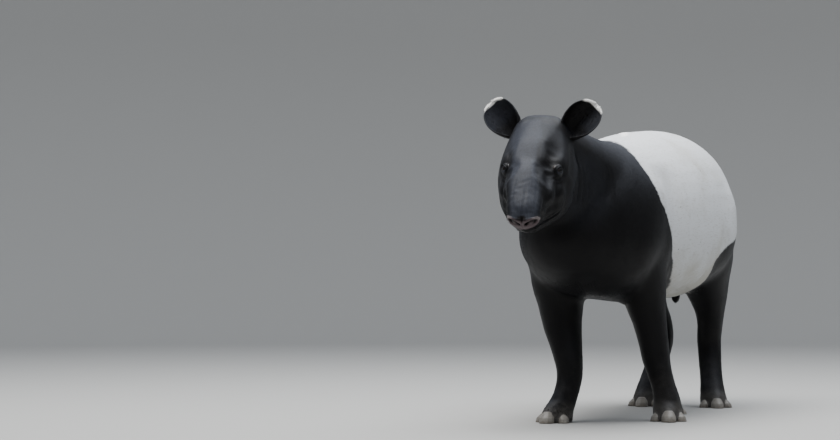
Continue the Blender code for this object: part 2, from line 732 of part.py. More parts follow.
NOSTRIL = (0.0240, 0.0165, 0.0085)
HEAD_CUT = Cut((-0.045, -0.334, 0.895), (0.08, -0.97, 0.24))
NECK_CUT = Cut((0.0, -0.170, 0.860), (0.06, -0.86, 0.50))
MIDDLE_CUT = Cut((0.0, 0.155, 0.660), (0.0, 0.94, 0.34))
THIGH_CUT = Cut((0.0, 0.660, 0.445), (0.0, -0.42, 0.91))
GROIN_CUT = Cut((0.035, 1.0, 0.30), (1.0, 0.0, 0.18))
FLOOR_CUT = Cut((0.0, 0.0, 0.0), (0.0, 0.0, 1.0))
FORELEG_CUT = Cut((0.0, 0.0, 0.404), (0.0, 0.0, 1.0))
KNEE_CUTS = {"fore": Cut((0.0, 0.0, 0.200), (0.0, 0.0, 1.0)), "hind": Cut((0.0, 0.0, 0.370), (0.0, 0.0, 1.0))}
ANKLE_CUT = Cut((0.0, 0.0, 0.085), (0.0, 0.0, 1.0))


def face_cuts():
    """Where the muzzle leaves the head, and the line of the mouth that parts it from the lower jaw."""
    frame = head_frame()
    turned = frame.to_3x3()
    muzzle = Cut(frame @ Vector((0, -0.300, 0)), turned @ Vector((0.0, -1.0, 0.0)))
    mouth = Cut(frame @ Vector((0, -0.300, -0.158)), turned @ Vector((0.0, -0.10, 1.0)))
    return muzzle, mouth


def held_planes():
    """Every plane that a piece's flat may lie on."""
    return [HEAD_CUT, NECK_CUT, MIDDLE_CUT, THIGH_CUT, GROIN_CUT, FLOOR_CUT, *face_cuts()]


def on_plane(place, cut, within):
    """Whether a point is on a cut's plane."""
    return abs((place - Vector(cut.point)).dot(Vector(cut.normal).normalized())) < within


def body_nodes(body):
    """The skin in its named pieces."""
    nodes = {}
    body, under = parted(body, FLOOR_CUT, "body", "under")
    bpy.data.objects.remove(under)
    rear, front = parted(body, MIDDLE_CUT, "rear", "front")
    saddle, legs = parted(rear, THIGH_CUT, "saddle", "legs")
    nodes["saddle"] = largest(saddle)
    hind = dict(zip(("hind_left", "hind_right"), parted(legs, GROIN_CUT, "hind_left", "hind_right")))
    forward, chest = parted(front, NECK_CUT, "forward", "chest")
    head, nodes["neck"] = parted(forward, HEAD_CUT, "head", "neck")
    chest, forelegs = parted(chest, FORELEG_CUT, "shoulders", "forelegs")
    nodes["shoulders"] = largest(chest)
    fore = dict(zip(("fore_left", "fore_right"), pair(forelegs, "fore_left", "fore_right")))
    muzzle_cut, mouth_cut = face_cuts()
    muzzle, nodes["head"] = parted(head, muzzle_cut, "muzzle", "head")
    nodes["muzzle"], nodes["lower_jaw"] = parted(muzzle, mouth_cut, "muzzle", "lower_jaw")
    for leg_name, whole in {**fore, **hind}.items():
        end = leg_name.split("_")[0]
        upper_name, lower_name = ("forearm", "cannon") if end == "fore" else ("thigh", "shank")
        upper, rest = parted(whole, KNEE_CUTS[end], f"{leg_name}_{upper_name}", "rest")
        lower, foot = parted(rest, ANKLE_CUT, f"{leg_name}_{lower_name}", f"{leg_name}_foot")
        for made in (upper, lower, foot):
            made = largest(made)
            nodes[made.name] = made
    return nodes


def finish_of(name):
    """What a node is covered with."""
    if name.startswith("eye"):
        return EYE
    if name.startswith("hoof"):
        return HORN
    return PALE_COAT if name in ("saddle", "tail") else BLACK_COAT


def coloured(obj):
    """The node, with its own material."""
    finish = finish_of(obj.name)
    material = bpy.data.materials.new(f"{obj.name} {finish.name}")
    material.use_nodes = True
    shader = material.node_tree.nodes["Principled BSDF"]
    shader.inputs["Base Color"].default_value = finish.color
    shader.inputs["Roughness"].default_value = finish.roughness
    shader.inputs["Metallic"].default_value = finish.metallic
    material.diffuse_color = finish.color
    obj.data.materials.clear()
    obj.data.materials.append(material)


def drop_cutters():
    """Remove what was only there to cut."""
    for obj in list(bpy.data.objects):
        if obj.hide_render:
            bpy.data.objects.remove(obj)


def settle():
    """Move every node so that the model's box stands on the origin by the middle of its base."""
    corners = np.array([vert.co[:] for obj in bpy.data.objects for vert in obj.data.vertices])
    low, high = corners.min(axis=0), corners.max(axis=0)
    shift = Vector((-(low[0] + high[0]) / 2, -(low[1] + high[1]) / 2, -low[2]))
    for obj in bpy.data.objects:
        obj.data.transform(Matrix.Translation(shift))


def main():
    clear_scene()
    frame = head_frame()
    body = flesh()
    body = pressed(body, body_strokes())
    body = refined(body)
    body = pressed(body, head_strokes(), frame, mirrored=True)
    body = thinned(body, BODY_TRIANGLES)
    nodes = body_nodes(body)

    eye_cutters = []
    for side, name in ((1, "eye_left"), (-1, "eye_right")):
        centre, turned = eye_place(side)
        ball(name, centre, (EYE_RADIUS,) * 3, turned)
        eye_cutters.append(ball("cut_" + name, centre, (EYE_RADIUS + GAP,) * 3, turned))
    nodes["head"] = carved(nodes["head"], eye_cutters)
    tip = snout_ring(1.0)
    nostril_cutters = []
    pitched = frame.to_3x3().to_4x4() @ Matrix.Rotation(math.radians(tip.pitch), 4, "X")
    for side in (1, -1):
        turned = pitched @ Matrix.Rotation(math.radians(side * 18), 4, "Y")
        middle = frame @ Vector((side * 0.027, tip.y - 0.001, tip.z + 0.001))
        nostril_cutters.append(ball("cut_nostril", middle, NOSTRIL, turned, 10, 6))
    nodes["muzzle"] = carved(nodes["muzzle"], nostril_cutters)
    for leg_name in LEG_LINES:
        cutters = []
        for toe in toes_of(leg_name):
            hoof(leg_name, toe)
            cutters.append(hoof(leg_name, toe, GAP))
        nodes[leg_name + "_foot"] = carved(nodes[leg_name + "_foot"], cutters)
    for side in (1, -1):
        carved(ear(side), [swollen(nodes["head"], GAP), swollen(nodes["neck"], GAP)])
    carved(tail(), [swollen(nodes["saddle"], GAP)])
    fold = ball("groin_fold", Vector((0.034, 1.030, 0.448)), (0.019, 0.036, 0.036), segments=10, rings=6)
    thighs = [nodes["hind_left_thigh"], nodes["hind_right_thigh"], nodes["saddle"]]
    carved(fold, [swollen(node, GAP) for node in thighs])
    drop_cutters()
    settle()
    for obj in bpy.data.objects:
        coloured(obj)


if __name__ == "__main__":
    main()
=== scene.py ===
"""The looks of a standing Malayan tapir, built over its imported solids.

Metres, in the solids' own frame: +Z up, the head towards -Y, the animal's left side at +X.
One skin is drawn over the solids of the flesh, smoothed, and modelled finer at the head, ears and
feet. Short tufts, lashes and whiskers stand on it. The eyes and hooves are pieces of their own.
"""

import json
import logging
import math
from collections.abc import Callable, Sequence
from dataclasses import dataclass, field
from enum import Enum

import bmesh
import bpy
import numpy as np
from mathutils import Matrix, Vector
from mathutils.bvhtree import BVHTree

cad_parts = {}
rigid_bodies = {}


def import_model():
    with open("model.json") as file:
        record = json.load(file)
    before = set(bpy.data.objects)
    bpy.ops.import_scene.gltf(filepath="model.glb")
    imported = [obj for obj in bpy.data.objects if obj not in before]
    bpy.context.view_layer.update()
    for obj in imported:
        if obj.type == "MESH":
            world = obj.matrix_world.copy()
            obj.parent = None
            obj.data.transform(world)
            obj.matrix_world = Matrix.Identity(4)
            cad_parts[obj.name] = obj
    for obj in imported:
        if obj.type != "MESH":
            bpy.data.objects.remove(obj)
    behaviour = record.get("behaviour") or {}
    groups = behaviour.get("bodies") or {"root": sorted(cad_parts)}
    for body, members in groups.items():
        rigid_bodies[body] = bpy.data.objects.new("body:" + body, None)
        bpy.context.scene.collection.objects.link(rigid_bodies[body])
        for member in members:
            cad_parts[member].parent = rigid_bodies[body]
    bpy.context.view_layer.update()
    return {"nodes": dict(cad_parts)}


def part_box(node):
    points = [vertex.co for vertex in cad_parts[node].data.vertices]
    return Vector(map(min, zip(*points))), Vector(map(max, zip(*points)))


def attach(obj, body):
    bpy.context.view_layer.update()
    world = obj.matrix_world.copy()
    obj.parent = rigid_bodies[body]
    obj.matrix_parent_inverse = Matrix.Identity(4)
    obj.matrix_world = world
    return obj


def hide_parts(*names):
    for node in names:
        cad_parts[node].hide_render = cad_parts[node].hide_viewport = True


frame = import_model()

LOG = logging.getLogger("tapir")
BODY = "root"
SIDES = {"left": 1, "right": -1}
COAT_DEPTH = 0.0020
NOSE_DROPS = 0.008
Triple = tuple[float, float, float]


def unit(vectors: np.ndarray) -> np.ndarray:
    """Rows scaled to length one."""
    return vectors / np.maximum(np.linalg.norm(vectors, axis=1, keepdims=True), 1e-9)


def ease(value: np.ndarray, low: float, high: float) -> np.ndarray:
    """A soft step from 0 at low to 1 at high.

    Args:
        value: Numbers to grade.
        low: Where the step starts.
        high: Where it ends. It may be less than low, for a falling step.

    Returns:
        Shares from 0 to 1.
    """
    t = np.clip((value - low) / (high - low), 0.0, 1.0)
    return t * t * (3.0 - 2.0 * t)


def deselect() -> None:
    """Leave nothing selected."""
    for obj in bpy.context.view_layer.objects:
        obj.select_set(False)


def activate(obj: bpy.types.Object) -> None:
    """Make one object the only selected one, and the active one."""
    deselect()
    obj.select_set(True)
    bpy.context.view_layer.objects.active = obj


def finish_modifiers(obj: bpy.types.Object) -> None:
    """Turn every modifier of an object into mesh."""
    activate(obj)
    for modifier in list(obj.modifiers):
        bpy.ops.object.modifier_apply(modifier=modifier.name)


def joined_copy(name: str, nodes: Sequence[str]) -> bpy.types.Object:
    """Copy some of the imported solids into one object, their doubled corners merged.

    Args:
        name: The new object's name.
        nodes: The solids' names.

    Returns:
        The object that holds them all.
    """
    deselect()
    copies = []
    for node in nodes:
        source = frame["nodes"][node]
        copy = bpy.data.objects.new(node + "_copy", source.data.copy())
        copy.data.materials.clear()
        bpy.context.scene.collection.objects.link(copy)
        copy.select_set(True)
        copies.append(copy)
    bpy.context.view_layer.objects.active = copies[0]
    if len(copies) > 1:
        bpy.ops.object.join()
    made = bpy.context.view_layer.objects.active
    made.name = name
    activate(made)
    bpy.ops.object.mode_set(mode="EDIT")
    bpy.ops.mesh.select_all(action="SELECT")
    bpy.ops.mesh.remove_doubles(threshold=0.00001)
    bpy.ops.object.mode_set(mode="OBJECT")
    return made


def remeshed(obj: bpy.types.Object, voxel: float) -> None:
    """Draw one even, closed skin over an object and keep its largest surface.

    Args:
        obj: The object to change.
        voxel: The new faces' size.
    """
    modifier = obj.modifiers.new("even faces", "REMESH")
    modifier.mode = "VOXEL"
    modifier.voxel_size = voxel
    finish_modifiers(obj)
    keep_largest(obj)


def keep_largest(obj: bpy.types.Object) -> None:
    """Drop every loose scrap of an object but its largest closed surface."""
    mesh_bm = bmesh.new()
    mesh_bm.from_mesh(obj.data)
    unseen = set(mesh_bm.verts)
    groups = []
    while unseen:
        queue = [unseen.pop()]
        group = list(queue)
        while queue:
            for edge in queue.pop().link_edges:
                for vert in edge.verts:
                    if vert in unseen:
                        unseen.discard(vert)
                        group.append(vert)
                        queue.append(vert)
        groups.append(group)
    groups.sort(key=len, reverse=True)
    for group in groups[1:]:
        bmesh.ops.delete(mesh_bm, geom=group, context="VERTS")
    mesh_bm.to_mesh(obj.data)
    mesh_bm.free()


def box_centre(node: str) -> Vector:
    """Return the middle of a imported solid's box."""
    low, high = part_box(node)
    return (low + high) / 2


@dataclass(frozen=True)
class HeadAxes:
    """The head's own axes: origin at the poll, -Y towards the nose, +Z out of the forehead."""

    pitch: float = 36.5
    yaw: float = 10.5
    roll: float = 2.5
    eye: Triple = (0.0800, -0.249, -0.047)
    eye_radius: float = 0.0190
    eye_looks: Triple = (0.84, -0.42, 0.34)
    snout_root: Triple = (0.0, -0.270, -0.062)
    snout_length: float = 0.222
    snout_droop: float = 26.0

    def level_turn(self) -> Matrix:
        """Return how the head is turned and leans, before it is pitched."""
        turned = Matrix.Rotation(math.radians(self.yaw), 4, "Z")
        return turned @ Matrix.Rotation(math.radians(self.roll), 4, "Y")

    def matrix(self) -> Matrix:
        """Return the head's axes in the world, placed by the two eyeballs."""
        turned = self.level_turn() @ Matrix.Rotation(math.radians(self.pitch), 4, "X")
        between = (box_centre("eye_left") + box_centre("eye_right")) / 2
        poll = between - turned.to_3x3() @ Vector((0.0, self.eye[1], self.eye[2]))
        return Matrix.Translation(poll) @ turned

    def snout(self, share: float) -> tuple[Vector, float]:
        """Walk along the snout's middle line.

        Args:
            share: How far along it, from 0 at the face to 1 at the nostrils.

        Returns:
            The place in the head's axes, and the pitch there in degrees.
        """
        place = Vector(self.snout_root)
        steps = 40
        for i in range(int(round(share * steps))):
            angle = math.radians(self.snout_droop * ((i + 0.5) / steps) ** 1.5)
            place = place + Vector((0.0, -math.cos(angle), -math.sin(angle))) * (self.snout_length / steps)
        return place, self.snout_droop * share**1.5

    def nose_disc(self) -> Matrix:
        """Return the axes of the nose's flat end: X across, Z up over it, -Y out of it."""
        place, pitch = self.snout(1.0)
        return self.matrix() @ Matrix.Translation(place) @ Matrix.Rotation(math.radians(pitch), 4, "X")

    def eye_axes(self, side: int) -> Matrix:
        """Return the axes of one eye: Z the way it looks, Y up, X across.

        Args:
            side: 1 for the left eye, -1 for the right one.
        """
        frame_in_world = self.matrix()
        looks = Vector((side * self.eye_looks[0], self.eye_looks[1], self.eye_looks[2])).normalized()
        up = Vector((0.0, 0.25, 1.0))
        up = (up - looks * up.dot(looks)).normalized()
        across = up.cross(looks)
        turned = Matrix((across, up, looks)).transposed().to_4x4()
        place = Vector((side * self.eye[0], self.eye[1], self.eye[2]))
        return frame_in_world @ Matrix.Translation(place) @ turned


HEAD = HeadAxes()
HEAD_MATRIX = HEAD.matrix()
TO_HEAD = np.array(HEAD_MATRIX.inverted())


def in_head(points: np.ndarray) -> np.ndarray:
    """Return world points in the head's axes."""
    return points @ TO_HEAD[:3, :3].T + TO_HEAD[:3, 3]


class Press(Enum):
    """How a stroke shapes the skin across its width."""

    SOFT = "a rounded swell or hollow"
    CREASE = "a narrow groove between two low lips"


@dataclass(frozen=True)
class Stroke:
    """A swell, hollow or crease along a line over the skin. A positive depth raises it."""

    points: Sequence[Triple]
    radius: float
    depth: float
    press: Press = Press.SOFT
    mirrored: bool = True
    shift: float = 0.0

    def profile(self, share: np.ndarray) -> np.ndarray:
        """Return how much of the depth is reached at shares of the radius."""
        inside = np.clip(1.0 - share**2, 0.0, 1.0) ** 2
        if self.press is Press.SOFT:
            return inside
        groove = np.exp(-((share / 0.26) ** 2))
        lips = 0.45 * np.exp(-(((share - 0.60) / 0.22) ** 2))
        return (groove - lips) * ease(share, 1.0, 0.8)


class Surface:
    """A skin held as arrays while it is modelled."""

    def __init__(self, obj: bpy.types.Object) -> None:
        """Read an object's mesh."""
        self.obj = obj
        self.read()

    def read(self) -> None:
        """Read the places and edges again after the mesh's faces changed."""
        mesh = self.obj.data
        self.points = np.empty(len(mesh.vertices) * 3)
        mesh.vertices.foreach_get("co", self.points)
        self.points = self.points.reshape(-1, 3)
        edges = np.empty(len(mesh.edges) * 2, int)
        mesh.edges.foreach_get("vertices", edges)
        self.edges = edges.reshape(-1, 2)
        self.degree = np.bincount(self.edges.ravel(), minlength=len(self.points)).astype(float)

    def write(self) -> None:
        """Put the places back in the mesh."""
        self.obj.data.vertices.foreach_set("co", self.points.ravel())
        self.obj.data.update()

    def normals(self) -> np.ndarray:
        """Return the skin's outward directions."""
        self.write()
        found = np.empty(len(self.points) * 3)
        self.obj.data.vertex_normals.foreach_get("vector", found)
        return found.reshape(-1, 3)

    def pulls(self) -> np.ndarray:
        """Return the way from each vertex to the middle of its neighbours."""
        first, second = self.edges[:, 0], self.edges[:, 1]
        total = np.zeros_like(self.points)
        for axis in range(3):
            column = self.points[:, axis]
            total[:, axis] = np.bincount(first, column[second], len(column))
            total[:, axis] += np.bincount(second, column[first], len(column))
        return total / np.maximum(self.degree, 1.0)[:, None] - self.points

    def smooth(self, rounds: int, weight: np.ndarray | float = 1.0, keep_size: bool = True) -> None:
        """Even out the skin.

        Args:
            rounds: How many times.
            weight: How much each vertex takes part, from 0 to 1.
            keep_size: Whether each round is answered by one that swells it back.
        """
        weight = np.broadcast_to(np.asarray(weight, float), len(self.points))[:, None]
        for _ in range(rounds):
            self.points += self.pulls() * weight * 0.5
            if keep_size:
                self.points -= self.pulls() * weight * 0.52

    def refine(self, chosen: Callable[[np.ndarray], np.ndarray], longest: float) -> None:
        """Halve the edges of one region that are longer than a limit.

        Args:
            chosen: Tells for rows of places whether each is in the region.
            longest: Edges over this are halved.
        """
        self.write()
        mesh_bm = bmesh.new()
        mesh_bm.from_mesh(self.obj.data)
        mesh_bm.edges.ensure_lookup_table()
        ends = self.points[self.edges]
        lengths = np.linalg.norm(ends[:, 0] - ends[:, 1], axis=1)
        picked = np.flatnonzero(chosen(ends.mean(axis=1)) & (lengths > longest))
        edges = [mesh_bm.edges[i] for i in picked]
        bmesh.ops.subdivide_edges(mesh_bm, edges=edges, cuts=1, use_grid_fill=True)
        wide = [face for face in mesh_bm.faces if len(face.verts) > 4]
        bmesh.ops.triangulate(mesh_bm, faces=wide, quad_method="SHORT_EDGE", ngon_method="BEAUTY")
        mesh_bm.to_mesh(self.obj.data)
        mesh_bm.free()
        self.read()
        self.smooth(4, chosen(self.points).astype(float))

    def draw_to(self, target: BVHTree, weight: np.ndarray) -> None:
        """Draw the skin onto a finer one.

        Args:
            target: The finer skin.
            weight: How far each vertex goes, from 0 to 1.
        """
        for i in np.flatnonzero(weight > 0.001):
            found = target.find_nearest(Vector(self.points[i]))[0]
            self.points[i] += (np.array(found) - self.points[i]) * weight[i]

    def tree(self) -> BVHTree:
        """Return a search tree of the skin as it is."""
        self.write()
        mesh = self.obj.data
        faces = [polygon.vertices[:] for polygon in mesh.polygons]
        return BVHTree.FromPolygons([Vector(row) for row in self.points], faces)

    def press(self, strokes: Sequence[Stroke], axes: Matrix) -> None:
        """Shape the skin with strokes whose points are first laid on it.

        Args:
            strokes: The strokes, in axes of their own.
            axes: Those axes in the world.
        """
        tree = self.tree()
        for stroke in strokes:
            for side in (1, -1) if stroke.mirrored else (1,):
                line = [axes @ Vector((side * x + stroke.shift, y, z)) for x, y, z in stroke.points]
                self.press_line(stroke, laid_on(tree, line, stroke.radius / 3))

    def press_line(self, stroke: Stroke, line: np.ndarray) -> None:
        """Move the skin near one line along its normals."""
        low, high = line.min(axis=0) - stroke.radius, line.max(axis=0) + stroke.radius
        near = np.flatnonzero(((self.points > low) & (self.points < high)).all(axis=1))
        if not len(near):
            return
        away = np.linalg.norm(self.points[near][:, None] - line[None], axis=2)
        closest = away.argmin(axis=1)
        share = away[np.arange(len(near)), closest] / stroke.radius
        along = closest / max(len(line) - 1, 1)
        runs_out = stroke.press is Press.CREASE and len(line) > 3
        fade = ease(along, -0.05, 0.22) * ease(along, 1.05, 0.78) if runs_out else 1.0
        moved = stroke.profile(share) * stroke.depth * fade
        self.points[near] += self.normals()[near] * moved[:, None]


def laid_on(tree: BVHTree, line: Sequence[Vector], step: float) -> np.ndarray:
    """Lay a line of points on a skin, with more points between them.

    Args:
        tree: The skin.
        line: The points.
        step: How far apart the laid points are at most.

    Returns:
        The laid points, one a row.
    """
    laid = []
    for first, second in zip(line, line[1:]):
        count = max(1, int((second - first).length / step))
        laid += [first.lerp(second, i / count) for i in range(count)]
    laid.append(line[-1])
    return np.array([tree.find_nearest(point)[0][:] for point in laid])


def wing_sweep(disc: np.ndarray) -> np.ndarray:
    """Return how far the nose's wings are swept back, for places in the axes of its end."""
    return 0.022 * np.clip(np.abs(disc[:, 0]) / 0.053, 0, 1.2) ** 2


def closeness(points: np.ndarray, centre: Sequence[float], reach: float) -> np.ndarray:
    """Return 1 at a centre, falling softly to 0 at its reach."""
    return ease(np.linalg.norm(points - np.array(centre), axis=1), reach, reach * 0.35)


@dataclass(frozen=True)
class EarShape:
    """A leaf-shaped cup, rolled into a tube at its root and open to the front."""

    length: float = 0.1405
    wall: float = 0.0040
    rim_swells: float = 0.0020
    ridge_height: float = 0.0011
    edge_rolls: float = 0.0030
    rows: int = 40
    columns: int = 38
    root: Triple = (0.082, -0.022, -0.050)
    points: Triple = (0.70, 0.02, 0.71)
    faces: Triple = (0.16, -0.98, 0.10)
    heights: Sequence[float] = (0.0, 0.18, 0.40, 0.62, 0.82, 0.94, 1.0)
    half_widths: Sequence[float] = (0.030, 0.042, 0.054, 0.057, 0.048, 0.032, 0.010)
    wraps: Sequence[float] = (140.0, 112.0, 90.0, 76.0, 62.0, 52.0, 46.0)

    def axes(self, side: int) -> Matrix:
        """Return one ear's axes in the world: Z to its tip, Y out of its back, X across."""
        points = Vector((side * self.points[0], self.points[1], self.points[2])).normalized()
        back = -Vector((side * self.faces[0], self.faces[1], self.faces[2]))
        back = (back - points * back.dot(points)).normalized()
        turned = Matrix((back.cross(points), back, points)).transposed().to_4x4()
        root = HEAD_MATRIX @ Vector((side * self.root[0], self.root[1], self.root[2]))
        return Matrix.Translation(root) @ HEAD.level_turn() @ turned

    def place(self, up: float, across: float) -> Vector:
        """Find a point of the cup's middle wall, in the ear's axes.

        Args:
            up: How far up the ear, from 0 to 1.
            across: How far round it, from -1 at one edge to 1 at the other.
        """
        half_width = smooth_read(self.heights, self.half_widths, up)
        wrap = math.radians(smooth_read(self.heights, self.wraps, up))
        radius = half_width / math.sin(min(wrap, math.pi / 2))
        fades = math.sin(math.pi * min(1.0, up * 1.1)) ** 0.7
        ridge = self.ridge_height * math.cos(across * 8.5) * (1 - across**2) * fades
        rolled = self.edge_rolls * max(0.0, abs(across) - 0.86) / 0.14
        radius += ridge - rolled
        angle = across * wrap
        return Vector((radius * math.sin(angle), -radius * (1 - math.cos(angle)), up * self.length))

    def build(self, side: int) -> bpy.types.Object:
        """Make one ear as a closed thin cup.

        Args:
            side: 1 for the left ear, -1 for the right one.

        Returns:
            The ear, in its place on the head.
        """
        bpy.ops.mesh.primitive_grid_add(x_subdivisions=self.columns, y_subdivisions=self.rows, size=2.0)
        obj = bpy.context.view_layer.objects.active
        obj.name = "ear_cup"
        axes = self.axes(side)
        for vert in obj.data.vertices:
            up = (vert.co.y + 1) / 2
            vert.co = axes @ self.place(up, vert.co.x)
        wall = obj.modifiers.new("wall", "SOLIDIFY")
        wall.thickness = self.wall
        wall.offset = 0.0
        finish_modifiers(obj)
        outward(obj)
        return obj


def smooth_read(knots: Sequence[float], values: Sequence[float], at: float) -> float:
    """Read a value on an eased curve through knots."""
    i = min(max(int(np.searchsorted(knots, at, side="right")) - 1, 0), len(knots) - 2)
    slopes = np.diff(values) / np.diff(knots)
    padded = np.concatenate([slopes[:1], (slopes[:-1] + slopes[1:]) / 2, slopes[-1:]])
    step = knots[i + 1] - knots[i]
    t = (at - knots[i]) / step
    start, end = values[i], values[i + 1]
    return float(
        (2 * t**3 - 3 * t**2 + 1) * start
        + (t**3 - 2 * t**2 + t) * step * padded[i]
        + (-2 * t**3 + 3 * t**2) * end
        + (t**3 - t**2) * step * padded[i + 1]
    )


def outward(obj: bpy.types.Object) -> None:
    """Point every face of a closed mesh outwards."""
    activate(obj)
    bpy.ops.object.mode_set(mode="EDIT")
    bpy.ops.mesh.select_all(action="SELECT")
    bpy.ops.mesh.normals_make_consistent(inside=False)
    bpy.ops.object.mode_set(mode="OBJECT")


EAR = EarShape()


@dataclass(frozen=True)
class Markings:
    """Where the coat is pale, from the line behind the shoulders to the thighs.

    The saddle's two borders are lines of (y, z) places, seen from the side.
    """

    front: Sequence[tuple[float, float]] = (
        (0.190, 0.300), (0.200, 0.360), (0.117, 0.470), (-0.002, 0.511), (-0.102, 0.609), (-0.190, 0.720),
        (-0.249, 0.778), (-0.268, 0.838), (-0.266, 0.900), (-0.240, 0.951), (-0.174, 0.991), (-0.113, 1.009),
        (-0.050, 1.100),
    )
    rear: Sequence[tuple[float, float]] = (
        (0.935, 0.730), (0.800, 0.700), (0.645, 0.669), (0.536, 0.644), (0.475, 0.612), (0.431, 0.576),
        (0.457, 0.541), (0.474, 0.506), (0.480, 0.470), (0.440, 0.300),
    )
    far: float = 1.4
    belly_half: float = 0.12
    belly_ends: tuple[float, float] = (0.20, 0.66)
    belly_heights: tuple[float, float] = (0.38, 0.62)
    rump_dip: float = 0.07
    rim_width: float = 0.0092
    ridge_knots: Sequence[float] = (-0.46, -0.38, -0.30, -0.22, -0.15, -0.05)
    ridge_middles: Sequence[float] = (0.004, -0.003, -0.020, -0.029, -0.030, -0.037)
    ridge_halves: Sequence[float] = (0.046, 0.050, 0.044, 0.048, 0.062, 0.046)
    nose_half_width: float = 0.052
    nose_half_height: float = 0.036

    def saddle(self, points: np.ndarray) -> np.ndarray:
        """Return how far each point is inside the pale saddle, and outside it as a negative number."""
        behind = [(self.front[-1][0], self.far), (self.far, self.far), (self.far, self.rear[0][1])]
        corners = np.array([*self.front, *behind, *self.rear])
        dip = ease(np.abs(points[:, 0]), 0.10, 0.05) * ease(points[:, 1], 0.80, 0.90)
        flat = np.stack([points[:, 1], points[:, 2] + self.rump_dip * dip], axis=1)
        away = np.full(len(points), np.inf)
        inside = np.zeros(len(points), bool)
        for start, end in zip(corners, np.roll(corners, -1, axis=0)):
            span, to_point = end - start, flat - start
            share = np.clip(to_point @ span / max(span @ span, 1e-9), 0, 1)
            away = np.minimum(away, np.linalg.norm(to_point - share[:, None] * span, axis=1))
            crosses = (start[1] > flat[:, 1]) != (end[1] > flat[:, 1])
            rise = span[1] if abs(span[1]) > 1e-9 else 1e-9
            inside ^= crosses & (flat[:, 0] < start[0] + (flat[:, 1] - start[1]) * span[0] / rise)
        belly = np.minimum.reduce([
            self.belly_half - np.abs(points[:, 0]),
            self.belly_ends[1] - points[:, 1],
            points[:, 1] - self.belly_ends[0],
            points[:, 2] - self.belly_heights[0],
            self.belly_heights[1] - points[:, 2],
        ])
        return np.maximum(np.where(inside, away, -away), belly)

    def ear_rim(self, points: np.ndarray, wider: float = 1.0) -> np.ndarray:
        """Return how far each point is into the white edge of an ear, from 0 to 1.

        Args:
            points: The places.
            wider: How many times wider than the white edge the band is.
        """
        found = np.zeros(len(points))
        for side in SIDES.values():
            local = to_local(points, EAR.axes(side))
            up = local[:, 2] / EAR.length
            near = (up > 0.35) & (up < 1.1) & (np.abs(local[:, 0]) < 0.075) & (local[:, 1] > -0.09)
            half = np.interp(up, EAR.heights, EAR.half_widths)
            wrap = np.radians(np.interp(up, EAR.heights, EAR.wraps))
            radius = half / np.sin(np.minimum(wrap, math.pi / 2))
            turned = np.arctan2(local[:, 0], local[:, 1] + radius)
            beside, above = (wrap - np.abs(turned)) * radius, (1 - up) * EAR.length
            edge = beside * above / np.maximum(np.hypot(beside, above), 1e-6)
            along = np.where(side * turned > 0, ease(up, 0.92, 0.96), ease(up, 0.83, 0.88))
            width = self.rim_width * wider
            found = np.maximum(found, near * along * ease(edge, width, width * 0.72))
        return found

    def ear_hollow(self, points: np.ndarray, normals: np.ndarray) -> np.ndarray:
        """Return how far each point lies in the painted shade inside an ear, from 0 to 1."""
        found = np.zeros(len(points))
        for side in SIDES.values():
            axes = EAR.axes(side)
            local = to_local(points, axes)
            front = -(normals @ np.array(axes.to_3x3())[:, 1])
            within = (local[:, 2] > 0.0) & (local[:, 2] < 0.16)
            within &= np.linalg.norm(local[:, :2], axis=1) < 0.10
            inner = ease(side * local[:, 0], 0.030, -0.020)
            deep = np.maximum(ease(local[:, 2], 0.085, 0.035), inner * ease(local[:, 2], 0.135, 0.085))
            # Painted shade, half as strong in the right ear.
            found = np.maximum(found, within * ease(front, 0.05, 0.45) * deep * (1.0 if side > 0 else 0.5))
        return found

    def ridge(self, local: np.ndarray) -> np.ndarray:
        """Return how far each point of the head lies on the band of painted highlight from the brow to the
        nose.
        """
        middle = np.interp(local[:, 1], self.ridge_knots, self.ridge_middles)
        half = np.interp(local[:, 1], self.ridge_knots, self.ridge_halves)
        over = ease(np.abs(local[:, 0] - middle) / half, 1.20, 0.70)
        return over * ease(local[:, 1], -0.035, -0.075) * ease(local[:, 2], -0.150, -0.120)

    def brow_pits(self, local: np.ndarray, reach: float) -> np.ndarray:
        """Return how near each point of the head is to the hollows over the eyes, from 0 to 1."""
        pits = [closeness(local, (side * 0.074 - 0.010, -0.232, -0.020), reach) for side in SIDES.values()]
        return np.maximum(*pits)

    def nose_end(self, points: np.ndarray) -> np.ndarray:
        """Return points in the axes of the nose's flat end, its swept-back wings laid flat."""
        disc = to_local(points, HEAD.nose_disc())
        disc[:, 1] -= wing_sweep(disc)
        disc[:, 2] += NOSE_DROPS
        return disc

    def bare(self, points: np.ndarray) -> np.ndarray:
        """Return where pinkish skin shows, at the nose's end."""
        disc = self.nose_end(points)
        ring = np.hypot(disc[:, 0] / self.nose_half_width, disc[:, 2] / self.nose_half_height)
        nose = ease(disc[:, 1], 0.012, 0.002) * ease(ring, 1.35, 1.05)
        return np.clip(nose, 0.0, 1.0)

    def nose_rim(self, points: np.ndarray) -> np.ndarray:
        """Return where the light edge runs round the top of the nose's end."""
        disc = self.nose_end(points)
        ring = np.hypot(disc[:, 0] / self.nose_half_width, disc[:, 2] / self.nose_half_height)
        on_ring = ease(ring, 0.90, 0.99) * ease(ring, 1.22, 1.10) * ease(disc[:, 2], -0.012, 0.004)
        return on_ring * ease(disc[:, 1], 0.0125, 0.0070)

